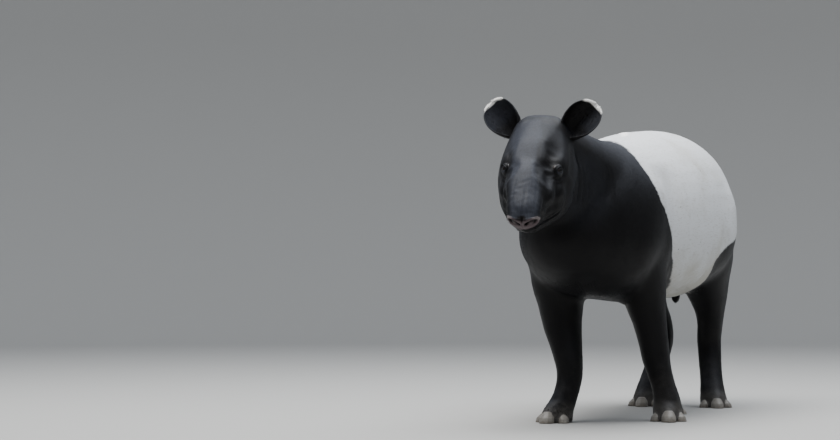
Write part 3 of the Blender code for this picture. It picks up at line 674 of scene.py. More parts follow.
    def lit(self, points: np.ndarray, normals: np.ndarray) -> np.ndarray:
        """Return where the black hair gets a painted highlight, as if it caught the light from above.

        That is on the brow, nose, back, lids and ears, and at one place behind the cheek.
        """
        head = LIE.head_share(points)
        local = in_head(points)
        crown = ease(local[:, 1], -0.100, -0.040) * head
        # Painted highlight: hair that faces up is lightened, less on the crown, and more along the band from
        # the brow to the nose.
        on_head = ease(normals[:, 2], 0.20, 0.95) * (1 - 0.45 * crown) * 0.62
        on_head = np.maximum(on_head, self.ridge(local) * ease(normals[:, 2], -0.40, 0.10) * 0.92)
        # Painted shade: the highlight is taken out of the hollows over the eyes.
        on_head = on_head * (1 - 0.80 * self.brow_pits(local, 0.046))
        # Painted highlight on the body's upward faces, such as the back.
        on_body = ease(normals[:, 2], 0.10, 0.98) * 0.66
        found = on_head * head + on_body * (1 - head)
        for side in SIDES.values():
            eye = to_local(points, HEAD.eye_axes(side))
            reach = np.linalg.norm(eye, axis=1)
            turn = np.arccos(np.clip(eye[:, 2] / np.maximum(reach, 1e-6), -1, 1))
            # Painted highlight round the lids, strongest on the lower lid.
            ring = ease(turn, 0.34, 0.46) * ease(turn, 0.90, 0.64) * (reach < 0.028)
            found = np.maximum(found, ring * (0.35 + 0.55 * ease(eye[:, 1], 0.004, -0.006)))
            ear = to_local(points, EAR.axes(side))
            on_ear = ease(ear[:, 2], 0.035, 0.070) * (np.linalg.norm(ear, axis=1) < 0.17)
            # Painted light on the ears, more on the right ear than on the left.
            ear_painted_light = 0.60 if side < 0 else 0.42 * ease(ear[:, 0], -0.010, 0.030)
            found = np.maximum(found, on_ear * ear_painted_light)
        # Painted highlight at one place on the neck behind the left cheek.
        return np.maximum(found, closeness(points, (0.085, -0.600, 0.800), 0.170) * 0.30)

    def shade(self, points: np.ndarray) -> np.ndarray:
        """Return where light hardly reaches: inside the nostrils and in the hollows over the eyes."""
        disc = self.nose_end(points)
        deep = ease(disc[:, 1], 0.003, 0.0075)
        within = ease(np.hypot(disc[:, 0] / 0.046, disc[:, 2] / 0.030), 1.0, 0.85)
        local = in_head(points)
        pits = np.maximum(self.brow_pits(local, 0.013) * 0.75, self.brow_pits(local, 0.038) * 0.5)
        return np.maximum(deep * within * (disc[:, 1] < 0.022), pits)


def to_local(points: np.ndarray, axes: Matrix) -> np.ndarray:
    """Return world points in other axes."""
    inverse = np.array(axes.inverted())
    return points @ inverse[:3, :3].T + inverse[:3, 3]


MARKINGS = Markings()


@dataclass(frozen=True)
class Lie:
    """Which way the hair lies: back over the body, down the legs, up the face."""

    leg_top: float = 0.46
    rump: float = 0.62

    def downward(self, points: np.ndarray, normals: np.ndarray) -> np.ndarray:
        """Return how far the hair lies down instead of back, from 0 to 1."""
        legs = ease(points[:, 2], self.leg_top + 0.10, self.leg_top - 0.06)
        rump = ease(points[:, 1], self.rump, self.rump + 0.22)
        chest = ease(points[:, 1], -0.30, -0.42) * ease(points[:, 2], 0.86, 0.74)
        flat_on = ease(np.abs(normals[:, 1]), 0.55, 0.90) * ease(self.head_share(points), 0.6, 0.2)
        return np.clip(np.maximum.reduce([legs, rump, chest, flat_on]), 0.0, 1.0)

    def head_share(self, points: np.ndarray) -> np.ndarray:
        """Return how far each point belongs to the head, from 0 to 1."""
        local = in_head(points)
        return ease(local[:, 1], 0.03, -0.06) * ease(points[:, 1], -0.45, -0.56)

    def ways(self, points: np.ndarray, normals: np.ndarray) -> np.ndarray:
        """Return the way the hair lies at each point, along the skin."""
        down = self.downward(points, normals)[:, None]
        head = self.head_share(points)[:, None]
        back = np.array([0.0, 1.0, -0.32]) * np.ones((len(points), 1))
        fall = np.array([0.0, 0.10, -1.0]) * np.ones((len(points), 1))
        turned = np.array(HEAD_MATRIX.to_3x3())
        up_face = turned @ np.array([0.0, 1.0, 0.05])
        down_cheek = turned @ np.array([0.0, 0.75, -0.75])
        local = in_head(points)
        cheek = ease(local[:, 2], -0.06, -0.14)[:, None]
        over_head = up_face * (1 - cheek) + down_cheek * cheek
        guide = unit((back * (1 - down) + fall * down) * (1 - head) + over_head * head)
        for side in SIDES.values():
            axes = EAR.axes(side)
            ear = to_local(points, axes)
            on_ear = ease(ear[:, 2], 0.025, 0.05) * (np.abs(ear[:, 0]) < 0.08) * (np.abs(ear[:, 1]) < 0.10)
            to_tip = np.array(axes.to_3x3()) @ np.array([0.0, 0.0, 1.0])
            guide = guide * (1 - on_ear[:, None]) + to_tip * on_ear[:, None]
        along = guide - normals * (guide * normals).sum(axis=1)[:, None]
        return unit(along)


LIE = Lie()


class Signal:
    """A number or colour on its way through a material, with arithmetic that adds the nodes it needs."""

    def __init__(self, tree: "Tree", socket: bpy.types.NodeSocket) -> None:
        """Wrap a node's output socket."""
        self.tree = tree
        self.socket = socket

    def math(self, operation: str, *values: "Signal | float") -> "Signal":
        """Return the result of a Math node on numbers."""
        return self.tree.add("ShaderNodeMath", dict(enumerate(values)), operation=operation)

    def __add__(self, other: "Signal | float") -> "Signal":
        """Add."""
        return self.math("ADD", self, other)

    __radd__ = __add__

    def __sub__(self, other: "Signal | float") -> "Signal":
        """Take away."""
        return self.math("SUBTRACT", self, other)

    def __rsub__(self, other: "Signal | float") -> "Signal":
        """Take this away from another."""
        return self.math("SUBTRACT", other, self)

    def __mul__(self, other: "Signal | float") -> "Signal":
        """Multiply."""
        return self.math("MULTIPLY", self, other)

    def step(self, low: float, high: float) -> "Signal":
        """Return a soft step from 0 at low to 1 at high."""
        settings = {"Value": self, "From Min": low, "From Max": high}
        return self.tree.add("ShaderNodeMapRange", settings, interpolation_type="SMOOTHSTEP")


class Tree:
    """A material's nodes while they are put together."""

    def __init__(self, name: str) -> None:
        """Start a material with an empty Principled shader."""
        self.material = bpy.data.materials.new(name)
        self.material.use_nodes = True
        self.nodes = self.material.node_tree.nodes
        self.links = self.material.node_tree.links
        self.shader = self.nodes["Principled BSDF"]

    def add(
        self,
        kind: str,
        inputs: dict[int | str, object] | None = None,
        output: int | str = 0,
        **settings: object,
    ) -> Signal:
        """Add a node.

        Args:
            kind: The node's type.
            inputs: Its sockets' values or links, by name or place.
            output: The socket to go on from.
            **settings: The node's own settings, which are set first.

        Returns:
            The output, for more maths.
        """
        node = self.nodes.new(kind)
        for name, value in settings.items():
            setattr(node, name, value)
        for key, value in (inputs or {}).items():
            self.set(node.inputs[key], value)
        return Signal(self, node.outputs[output])

    def set(self, socket: bpy.types.NodeSocket, value: object) -> None:
        """Give a socket a value or a link."""
        if isinstance(value, Signal):
            self.links.new(value.socket, socket)
        else:
            socket.default_value = value

    def place(self, scale: Triple) -> Signal:
        """Return Object coordinates, stretched."""
        where = self.add("ShaderNodeTexCoord", output="Object")
        return self.add("ShaderNodeVectorMath", {0: where, 1: scale}, operation="MULTIPLY")

    def noise(self, scale: Triple, detail: float = 2.0, roughness: float = 0.5) -> Signal:
        """Return a noise from about 0.3 to 0.7, its grain one metre over each scale."""
        sizes = {"Vector": self.place(scale), "Scale": 1.0, "Detail": detail, "Roughness": roughness}
        return self.add("ShaderNodeTexNoise", sizes, output=0)

    def attribute(self, name: str) -> Signal:
        """Return a number kept on the piece's own vertices."""
        return self.add("ShaderNodeAttribute", output="Fac", attribute_name=name)

    def blend(self, share: Signal | float, first: object, second: object) -> Signal:
        """Return a colour between two others."""
        sockets = {0: share, 6: first, 7: second}
        return self.add("ShaderNodeMix", sockets, output=2, data_type="RGBA")

    def raised(
        self, height: Signal, distance: float, strength: float, before: Signal | None = None
    ) -> Signal:
        """Return a normal bumped by a height."""
        sockets = {"Height": height, "Distance": distance, "Strength": strength}
        if before is not None:
            sockets["Normal"] = before
        return self.add("ShaderNodeBump", sockets)


Colour = tuple[float, float, float, float]


@dataclass(frozen=True)
class CoatFinish:
    """The short flat coat and the skin under it, with the saddle's markings and with painted highlight and
    painted shade.
    """

    black: Colour = (0.0042, 0.0040, 0.0044, 1.0)
    # Painted highlight colour, for black hair that faces up.
    lit_black: Colour = (0.030, 0.033, 0.043, 1.0)
    nose_edge: Colour = (0.20, 0.175, 0.175, 1.0)
    dust: Colour = (0.105, 0.098, 0.090, 1.0)
    pale: Colour = (0.62, 0.635, 0.65, 1.0)
    pale_dusty: Colour = (0.42, 0.405, 0.355, 1.0)
    pale_streak: Colour = (0.40, 0.385, 0.36, 1.0)
    white_rim: Colour = (0.86, 0.85, 0.82, 1.0)
    bare_skin: Colour = (0.080, 0.060, 0.064, 1.0)
    # Painted shade colour, for the nostrils and the hollows.
    deep: Colour = (0.004, 0.003, 0.003, 1.0)
    border_blur: float = 0.006
    roughness_black: float = 0.46
    roughness_pale: float = 0.62

    def material(self, name: str, bumped: bool) -> bpy.types.Material:
        """Make the material.

        Args:
            name: What to call it.
            bumped: Whether the hair's grain is bumped in, as on the skin between the tufts.

        Returns:
            The material.
        """
        tree = Tree(name)
        down = tree.attribute("down")
        along_back = tree.noise((230.0, 26.0, 200.0), 3.0, 0.6)
        along_legs = tree.noise((230.0, 210.0, 24.0), 3.0, 0.6)
        streak = along_back * (1 - down) + along_legs * down
        fine_back = tree.noise((900.0, 110.0, 800.0), 2.0, 0.5)
        fine_legs = tree.noise((900.0, 850.0, 100.0), 2.0, 0.5)
        fine = fine_back * (1 - down) + fine_legs * down
        patches = tree.noise((7.0, 6.0, 7.0), 4.0, 0.55)
        small = tree.noise((60.0, 48.0, 60.0), 3.0, 0.6)
        height = tree.add("ShaderNodeSeparateXYZ", {0: tree.place((1.0, 1.0, 1.0))}, output=2)

        ragged = (streak - 0.5) * 0.016 + (small - 0.5) * 0.012
        inside = (tree.attribute("saddle") + ragged).step(-self.border_blur, self.border_blur)

        low_legs = height.step(0.42, 0.02)
        dusty = ((patches - 0.42) * 2.2 + low_legs * 0.55 + (small - 0.5) * 0.8 - 0.25).step(0.0, 1.0)
        tone = tree.attribute("tone")
        # Painted highlight: the black hair is blended towards lit_black where "top" is high, varied by glint.
        glint = (streak - 0.5) * 1.3 + (small - 0.5) * 0.6 + (tone - 0.5) * 0.55 + 0.80
        black = tree.blend(tree.attribute("top") * glint, self.black, self.lit_black)
        feet = height.step(0.085, 0.012)
        black = tree.blend(dusty * (0.030 + low_legs * 0.16) + feet * (small * 1.1 + 0.15), black, self.dust)

        low_flank = height.step(0.70, 0.42)
        soiled = ((patches - 0.45) * 2.0 + low_flank * 0.9 + (small - 0.5) * 0.5).step(0.0, 1.2)
        pale = tree.blend(soiled * 0.85, self.pale, self.pale_dusty)
        streaks = (streak - 0.52).step(0.0, 0.16) * 0.42 + (tone - 0.5) * 0.30
        pale = tree.blend(streaks, pale, self.pale_streak)
        spread = {"Vector": tree.place((26.0, 22.0, 26.0)), "Scale": 1.0}
        specks = tree.add("ShaderNodeTexVoronoi", spread)
        pale = tree.blend(specks.step(0.075, 0.045) * small.step(0.50, 0.56), pale, self.dust)

        colour = tree.blend(inside, black, pale)
        colour = tree.blend(tree.attribute("rim"), colour, self.white_rim)
        bare = tree.attribute("bare") * (0.55 + small * 0.6)
        colour = tree.blend(bare.step(0.05, 0.95), colour, self.bare_skin)
        colour = tree.blend(tree.attribute("nose_rim") * (0.45 + small * 0.6), colour, self.nose_edge)
        # Painted shade: "shade" darkens the nostrils, the hollows over the eyes and the insides of the ears.
        colour = tree.blend(tree.attribute("shade"), colour, self.deep)
        tree.set(tree.shader.inputs["Base Color"], colour)
        rough = inside * (self.roughness_pale - self.roughness_black) + self.roughness_black
        rough = rough + (small - 0.5) * 0.16 + tree.attribute("rim") * 0.12
        tree.set(tree.shader.inputs["Roughness"], rough)
        tree.shader.inputs["Specular IOR Level"].default_value = 0.11
        tree.shader.inputs["Sheen Weight"].default_value = 0.02
        tree.shader.inputs["Sheen Roughness"].default_value = 0.42
        tree.shader.inputs["Sheen Tint"].default_value = (0.80, 0.86, 1.0, 1.0)
        if bumped:
            normal = tree.raised(streak, 0.0016, 0.35)
            normal = tree.raised(fine, 0.0006, 0.45, normal)
            normal = tree.raised(small, 0.0020, 0.16, normal)
            tree.set(tree.shader.inputs["Normal"], normal)
        return tree.material


@dataclass(frozen=True)
class HornFinish:
    """The horn of the hooves, pale and dull, with growth rings and dirt at the ground."""

    horn: Colour = (0.245, 0.230, 0.205, 1.0)
    old_horn: Colour = (0.165, 0.152, 0.132, 1.0)
    dirt: Colour = (0.105, 0.088, 0.070, 1.0)

    def material(self) -> bpy.types.Material:
        """Make the material."""
        tree = Tree("hoof_horn")
        rings = tree.noise((24.0, 24.0, 420.0), 3.0, 0.55)
        grain = tree.noise((520.0, 520.0, 40.0), 2.0, 0.5)
        patches = tree.noise((70.0, 70.0, 60.0), 3.0, 0.6)
        height = tree.add("ShaderNodeSeparateXYZ", {0: tree.place((1.0, 1.0, 1.0))}, output=2)
        colour = tree.blend((rings - 0.42) * 2.4 + (grain - 0.5) * 0.8, self.old_horn, self.horn)
        soiled = (height.step(0.022, 0.0) + (patches - 0.55) * 2.2).step(0.1, 1.1)
        colour = tree.blend(soiled * 0.75, colour, self.dirt)
        tree.set(tree.shader.inputs["Base Color"], colour)
        tree.set(tree.shader.inputs["Roughness"], 0.48 + (patches - 0.5) * 0.4 + soiled * 0.25)
        normal = tree.raised(rings, 0.0008, 0.3)
        normal = tree.raised(grain, 0.0005, 0.4, normal)
        tree.set(tree.shader.inputs["Normal"], normal)
        return tree.material


@dataclass(frozen=True)
class EyeFinish:
    """A wet dark eye. The attribute "turn" tells how many degrees a point is from where it looks."""

    pupil: Colour = (0.003, 0.003, 0.004, 1.0)
    iris: Colour = (0.018, 0.010, 0.006, 1.0)
    iris_edge: Colour = (0.007, 0.005, 0.004, 1.0)
    white: Colour = (0.016, 0.011, 0.009, 1.0)
    pupil_edge: float = 21.0
    iris_turn: float = 47.0

    def material(self) -> bpy.types.Material:
        """Make the material."""
        tree = Tree("eye_wet")
        turn = tree.attribute("turn")
        fibres = tree.noise((900.0, 900.0, 900.0), 3.0, 0.6)
        inner = (turn + (fibres - 0.5) * 5.0).step(self.pupil_edge - 2.0, self.pupil_edge + 3.0)
        outer = turn.step(self.iris_turn - 10.0, self.iris_turn)
        ball = turn.step(self.iris_turn - 1.0, self.iris_turn + 5.0)
        colour = tree.blend(fibres, self.iris, self.iris_edge)
        colour = tree.blend(outer, colour, self.iris_edge)
        colour = tree.blend(inner, self.pupil, colour)
        colour = tree.blend(ball, colour, self.white)
        tree.set(tree.shader.inputs["Base Color"], colour)
        tree.shader.inputs["Roughness"].default_value = 0.05
        tree.shader.inputs["Specular IOR Level"].default_value = 0.24
        return tree.material


@dataclass
class Skin:
    """One skin over every solid of flesh, with the folds of the face, the lids and the ears.

    The lids' opening is measured in radians round the eyeball, and the rest in metres.
    """

    voxel: float = 0.0130
    close_voxel: float = 0.0052
    fine: float = 0.0078
    face: float = 0.0042
    small: float = 0.0023
    leg_top: float = 0.47
    snout_widens: float = 0.26
    bridge_rises: float = 0.015
    bridge_shift: float = -0.010
    forearm_swells: float = 0.009
    belly_drops: float = 0.016
    lid_half_width: float = 0.64
    lid_upper: float = 0.43
    lid_lower: float = 0.35
    lid_power: float = 1.75
    lid_clear: float = 0.0012
    lid_thick: float = 0.0018
    apart: Sequence[str] = ("ear_left", "ear_right")
    nodes: list[str] = field(default_factory=list)

    def build(self) -> Surface:
        """Make the skin.

        Returns:
            The skin, ready to be dressed.
        """
        inside = [name for name in sorted(frame["nodes"]) if name not in self.apart]
        self.nodes = [name for name in sorted(frame["nodes"]) if not name.startswith(("eye", "hoof"))]
        obj = joined_copy("skin", inside)
        swell = Surface(obj)
        swell.points += swell.normals() * 0.0004
        swell.write()
        close = self.close_skin(obj)
        remeshed(obj, self.voxel)
        skin = Surface(obj)
        skin.smooth(24)
        self.refine(skin, close)
        self.fill_face(skin)
        self.fill_forequarters(skin)
        skin.points -= skin.normals() * COAT_DEPTH
        skin.press(self.body_folds(), Matrix.Identity(4))
        skin.press(self.face_folds(), HEAD_MATRIX)
        skin.press(self.nose_folds(), HEAD.nose_disc())
        self.wrinkle_snout(skin)
        for side in SIDES.values():
            self.open_lids(skin, side)
        self.flatten_pads(skin)
        skin.write()
        skin = self.add_ears(skin)
        self.mark(skin)
        shade_smooth(skin.obj)
        return skin

    def close_skin(self, obj: bpy.types.Object) -> BVHTree:
        """Return a finer skin over the same solids, for the head and feet."""
        copy = bpy.data.objects.new("close_skin", obj.data.copy())
        bpy.context.scene.collection.objects.link(copy)
        remeshed(copy, self.close_voxel)
        finer = Surface(copy)
        finer.smooth(22)
        tree = finer.tree()
        bpy.data.objects.remove(copy)
        return tree

    def refine(self, skin: Surface, close: BVHTree) -> None:
        """Make the faces finer over the head and feet, and finest at the nose and eyes.

        Args:
            skin: The skin.
            close: The finer skin that the head and feet are drawn onto.
        """
        eyes = [np.array(HEAD.eye_axes(side).translation) for side in SIDES.values()]
        nose = np.array(HEAD.nose_disc().translation)

        def head(points: np.ndarray) -> np.ndarray:
            """Tell what is on the head."""
            local = in_head(points)
            return (local[:, 1] < 0.02) & (points[:, 1] < -0.50) & (local[:, 2] > -0.29)

        def feet(points: np.ndarray) -> np.ndarray:
            """Tell what is on the feet."""
            return points[:, 2] < 0.115

        def face(points: np.ndarray) -> np.ndarray:
            """Tell what is on the face."""
            local = in_head(points)
            return head(points) & (local[:, 1] < -0.165) & (local[:, 2] > -0.235)

        def near(places: Sequence[np.ndarray], reach: float) -> Callable[[np.ndarray], np.ndarray]:
            """Tell what is within reach of some places."""
            def chosen(points: np.ndarray) -> np.ndarray:
                """Tell whether each point is near one of them."""
                return np.min([np.linalg.norm(points - place, axis=1) for place in places], axis=0) < reach
            return chosen

        def behind(points: np.ndarray) -> np.ndarray:
            """Tell what is on the tail or between the thighs."""
            found = np.zeros(len(points), bool)
            for node in ("tail", "groin_fold"):
                low, high = (np.array(corner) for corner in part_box(node))
                found |= ((points > low - 0.03) & (points < high + 0.03)).all(axis=1)
            return found

        skin.refine(lambda points: head(points) | feet(points) | behind(points), self.fine)
        skin.refine(face, self.face)
        local = in_head(skin.points)
        on_head = ease(local[:, 1], 0.01, -0.07) * ease(skin.points[:, 1], -0.51, -0.58)
        on_legs = ease(skin.points[:, 2], self.leg_top, self.leg_top - 0.05)
        skin.draw_to(close, np.maximum.reduce([on_head, on_legs, behind(skin.points).astype(float)]))
        skin.refine(near([*eyes, nose], 0.052), self.small)
        skin.refine(near(eyes, 0.029), self.small / 2)

    def fill_face(self, skin: Surface) -> None:
        """Round the bridge of the nose, widen the snout's middle and even out the cheeks and brows."""
        local = in_head(skin.points)
        side, along, high = np.abs(local[:, 0]), local[:, 1], local[:, 2]
        cheek = ease(along, -0.10, -0.16) * ease(along, -0.42, -0.37) * ease(side, 0.035, 0.060)
        skin.smooth(14, cheek * ease(high, -0.075, -0.10))
        brows = [closeness(local, (side * 0.045, -0.172, -0.004), 0.062) for side in SIDES.values()]
        skin.smooth(36, np.maximum(*brows), keep_size=False)
        local = in_head(skin.points)
        side, along, high = np.abs(local[:, 0]), local[:, 1], local[:, 2]
        middle = ease(along, -0.27, -0.36) * ease(along, -0.53, -0.45) * ease(high, -0.150, -0.100)
        local[:, 0] *= 1 + self.snout_widens * middle * ease(side, 0.090, 0.060)
        bridge = ease(along, -0.06, -0.20) * ease(along, -0.43, -0.30) * ease(side, 0.082, 0.040)
        local[:, 2] += self.bridge_rises * bridge * ease(high, -0.060, -0.015)
        turning = ease(along, -0.08, -0.20) * ease(along, -0.47, -0.38) * ease(high, -0.090, -0.010)
        local[:, 0] += self.bridge_shift * turning * ease(side, 0.095, 0.060)
        turned = np.array(HEAD_MATRIX)
        skin.points = local @ turned[:3, :3].T + turned[:3, 3]

    def fill_forequarters(self, skin: Surface) -> None:
        """Swell the right forearm and lower the belly by the left foreleg."""
        low, high = (np.array(corner)[:2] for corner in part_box("fore_right_forearm"))
        inside = (skin.points[:, :2] > low - 0.03) & (skin.points[:, :2] < high + 0.03)
        upper = ease(skin.points[:, 2], 0.20, 0.33) * ease(skin.points[:, 2], 0.56, 0.44) * inside.all(axis=1)
        normals = skin.normals()
        skin.points += normals * np.array([1.0, 1.0, 0.0]) * (upper * self.forearm_swells)[:, None]
        under = ease(normals[:, 2], -0.30, -0.80) * (skin.points[:, 2] > 0.34)
        under = under * ease(skin.points[:, 0], -0.02, 0.10)
        under *= ease(skin.points[:, 1], -0.46, -0.34) * ease(skin.points[:, 1], 0.06, -0.10)
        skin.points[:, 2] -= under * self.belly_drops

    def body_folds(self) -> list[Stroke]:
        """Return the folds of the body, in the world's axes. The neck's lie behind the left cheek."""
        crease = Press.CREASE
        return [
            Stroke([(0.070, -0.661, 0.931), (0.077, -0.652, 0.881), (0.073, -0.607, 0.817),
                    (0.053, -0.568, 0.735)], 0.022, -0.0070, crease),
            Stroke([(0.082, -0.622, 0.883), (0.081, -0.589, 0.818), (0.069, -0.564, 0.752),
                    (0.058, -0.561, 0.695)], 0.020, -0.0060, crease),
            Stroke([(0.091, -0.575, 0.849), (0.089, -0.558, 0.782), (0.073, -0.555, 0.702)],
                   0.020, -0.0034, crease),
            Stroke([(0.130, -0.490, 0.940), (0.150, -0.480, 0.860), (0.140, -0.500, 0.770)],
                   0.026, -0.0022, crease),
            Stroke([(0.215, -0.110, 0.560), (0.190, -0.075, 0.500), (0.160, -0.060, 0.450)],
                   0.034, -0.0065, crease),
            Stroke([(0.270, 0.330, 0.600), (0.250, 0.360, 0.520), (0.200, 0.400, 0.455)],
                   0.046, -0.0080, crease),
            Stroke([(0.230, -0.150, 0.860), (0.262, -0.110, 0.720), (0.250, -0.090, 0.600)],
                   0.075, -0.0050),
            Stroke([(0.280, 0.600, 0.800), (0.290, 0.560, 0.700)], 0.110, 0.0050),
            Stroke([(0.240, 0.780, 0.840), (0.200, 0.860, 0.780)], 0.070, -0.0045),
            Stroke([(0.000, -0.250, 1.02), (0.000, 0.100, 1.06), (0.000, 0.500, 1.09)],
                   0.110, 0.0016, mirrored=False),
        ]

    def face_folds(self) -> list[Stroke]:
        """Return the left half's folds of the face, in the head's axes."""
        crease, bridge = Press.CREASE, self.bridge_shift
        return [
            Stroke([(0.068, -0.214, -0.014), (0.068, -0.232, -0.020), (0.062, -0.254, -0.026)],
                   0.026, -0.0032, shift=bridge),
            Stroke([(0.058, -0.008, 0.000), (0.062, -0.050, 0.000)], 0.048, 0.0070),
            Stroke([(0.032, -0.292, -0.008), (0.036, -0.314, -0.018)], 0.020, -0.0024, shift=bridge),
            Stroke([(0.070, -0.296, -0.050), (0.090, -0.274, -0.066), (0.106, -0.240, -0.069)],
                   0.016, -0.0014, crease),
            Stroke([(0.064, -0.346, -0.068), (0.078, -0.326, -0.080), (0.090, -0.302, -0.095)],
                   0.044, 0.0048),
            Stroke([(0.060, -0.292, -0.040), (0.062, -0.340, -0.054), (0.058, -0.385, -0.070),
                    (0.052, -0.425, -0.090)], 0.024, -0.0056),
            Stroke([(0.066, -0.380, -0.100), (0.082, -0.348, -0.118), (0.092, -0.312, -0.128)],
                   0.026, -0.0040),
            Stroke([(0.080, -0.290, -0.157), (0.068, -0.320, -0.160), (0.052, -0.365, -0.159),
                    (0.030, -0.408, -0.153), (0.000, -0.426, -0.150)], 0.013, -0.0048, crease),
            Stroke([(0.084, -0.282, -0.150), (0.082, -0.288, -0.168)], 0.016, -0.0030),
            Stroke([(0.064, -0.320, -0.180), (0.045, -0.370, -0.180), (0.020, -0.405, -0.174)],
                   0.018, 0.0030),
            Stroke([(0.118, -0.180, -0.210), (0.104, -0.245, -0.214), (0.082, -0.300, -0.206)],
                   0.024, -0.0030, crease),
            Stroke([(0.106, -0.090, -0.030), (0.112, -0.150, -0.060), (0.112, -0.200, -0.085)],
                   0.026, -0.0026),
            Stroke([(0.118, -0.150, -0.120), (0.116, -0.210, -0.125)], 0.050, 0.0030),
            Stroke([(0.030, -0.333, -0.020), (0.036, -0.390, -0.038), (0.036, -0.446, -0.062)],
                   0.012, -0.0009, crease),
            Stroke([(0.000, -0.380, -0.021), (0.003, -0.423, -0.037), (0.001, -0.475, -0.060),
                    (0.000, -0.493, -0.083)], 0.014, -0.0014, crease, mirrored=False),
        ]

    def nose_folds(self) -> list[Stroke]:
        """Return the folds of the nose's end, in its own axes. The nostrils are two hooked slits."""
        hook = [(0.0405, 0.0, 0.001), (0.0370, 0.0, 0.0125), (0.0270, 0.0, 0.0165), (0.0165, 0.0, 0.0110),
                (0.0125, 0.0, 0.0020)]
        around = np.linspace(0.15, math.pi - 0.15, 12)
        rim = [(math.sin(angle) * 0.049, 0.002, math.cos(angle) * 0.0345) for angle in around]
        crest = [(0.0, 0.030, 0.046), (0.0, 0.012, 0.040), (0.0, -0.001, 0.022), (0.0, -0.002, 0.000),
                 (0.0, 0.000, -0.024)]
        return [
            Stroke(rim, 0.009, 0.0026),
            Stroke([(0.0265, 0.0, 0.0010)], 0.0105, 0.0030),
            Stroke(hook, 0.0068, -0.0125),
            Stroke(crest, 0.0080, -0.0020, Press.CREASE, mirrored=False),
        ]

    def wrinkle_snout(self, skin: Surface) -> None:
        """Lay faint broken rings across the snout, and sweep the nose's wings back and out."""
        local = in_head(skin.points)
        along = -(local[:, 1] - HEAD.snout_root[1])
        share = along / HEAD.snout_length
        over = ease(local[:, 2], -0.150, -0.115)
        fade = ease(share, 0.10, 0.45) * ease(share, 0.97, 0.88) * over
        waver = 1.3 * np.sin(local[:, 0] * 95.0) + 0.9 * np.sin(local[:, 0] * 41.0 + along * 60.0)
        broken = 0.5 + 0.5 * np.sin(local[:, 0] * 130.0 + along * 87.0)
        rings = np.sin(np.clip(share, 0, 1) ** 1.25 * 52.0 + waver)
        skin.points += skin.normals() * (fade * rings * broken * 0.00034)[:, None]
        axes = HEAD.nose_disc()
        disc = to_local(skin.points, axes)
        near = ease(np.hypot(disc[:, 0], disc[:, 2]), 0.095, 0.065)
        back = ease(disc[:, 1], 0.055, 0.0) * near * wing_sweep(disc)
        flare = ease(disc[:, 1], 0.024, 0.004) * near * 0.03
        drop = ease(disc[:, 1], 0.070, 0.010) * near * ease(disc[:, 2], -0.052, -0.028) * NOSE_DROPS
        dip = ease(disc[:, 1], 0.050, 0.010) * near * 0.009 * np.exp(-((disc[:, 0] / 0.022) ** 2))
        disc = disc * np.stack([1 + flare, np.ones_like(flare), 1 + flare * 0.4], axis=1)
        disc[:, 1] += back
        disc[:, 2] -= dip * ease(disc[:, 2], 0.0, 0.028) + drop
        turned = np.array(axes)
        skin.points = disc @ turned[:3, :3].T + turned[:3, 3]

    def open_lids(self, skin: Surface, side: int) -> None:
        """Wrap the skin over one eyeball and open it in an almond with thick edges.

        Args:
            skin: The skin.
            side: 1 for the left eye, -1 for the right one.
        """
        axes = HEAD.eye_axes(side)
        ball = HEAD.eye_radius
        local = to_local(skin.points, axes)
        reach = np.linalg.norm(local, axis=1)
        near = np.flatnonzero((reach < 0.046) & (local[:, 2] > -0.004))
        local, reach = local[near], reach[near]
        turn = np.arccos(np.clip(local[:, 2] / reach, -1, 1))
        spin = np.arctan2(local[:, 1], local[:, 0] * side)
        across, above = turn * np.cos(spin), turn * np.sin(spin)
        above = above + 0.10 * across
        tall = np.where(above > 0, self.lid_upper, self.lid_lower)
        power = self.lid_power
        oval = np.abs(across / self.lid_half_width) ** power + np.abs(above / tall) ** power
        oval = oval ** (1 / power)
        edge = (oval - 1.0) * tall
        rise = np.sin(np.clip(edge / 0.22, 0, 1) * math.pi / 2)
        lid = ball + self.lid_clear + self.lid_thick * rise
        lid -= 0.0011 * np.exp(-(((edge - 0.30) / 0.05) ** 2)) * (above > 0)
        lid -= 0.0008 * np.exp(-(((edge - 0.25) / 0.05) ** 2)) * (above <= 0)
        soft = 0.0035
        higher = np.maximum(lid, reach)
        gap = np.abs(lid - reach)
        outside = higher + np.clip(soft - gap, 0, None) ** 2 / (4 * soft)
        outside = reach + (outside - reach) * ease(turn, 1.50, 1.05)
        hidden = ball * 0.90
        radius = np.where(edge < -0.035, hidden, outside)
        lip = ease(edge, -0.035, 0.0)
        radius = np.where(edge < 0.0, hidden + (ball + self.lid_clear - hidden) * lip, radius)
        placed = local / reach[:, None] * radius[:, None]
        matrix = np.array(axes)
        skin.points[near] = placed @ matrix[:3, :3].T + matrix[:3, 3]
        weight = np.zeros(len(skin.points))
        weight[near] = ease(edge, 0.02, 0.14) * ease(turn, 1.55, 1.2) * 0.8
        skin.smooth(3, weight)

    def flatten_pads(self, skin: Surface) -> None:
        """Set the soles' pads down on the floor."""
        low = ease(skin.points[:, 2], 0.007, 0.0035)
        skin.points[:, 2] = skin.points[:, 2] * (1 - low) + 0.0004 * low

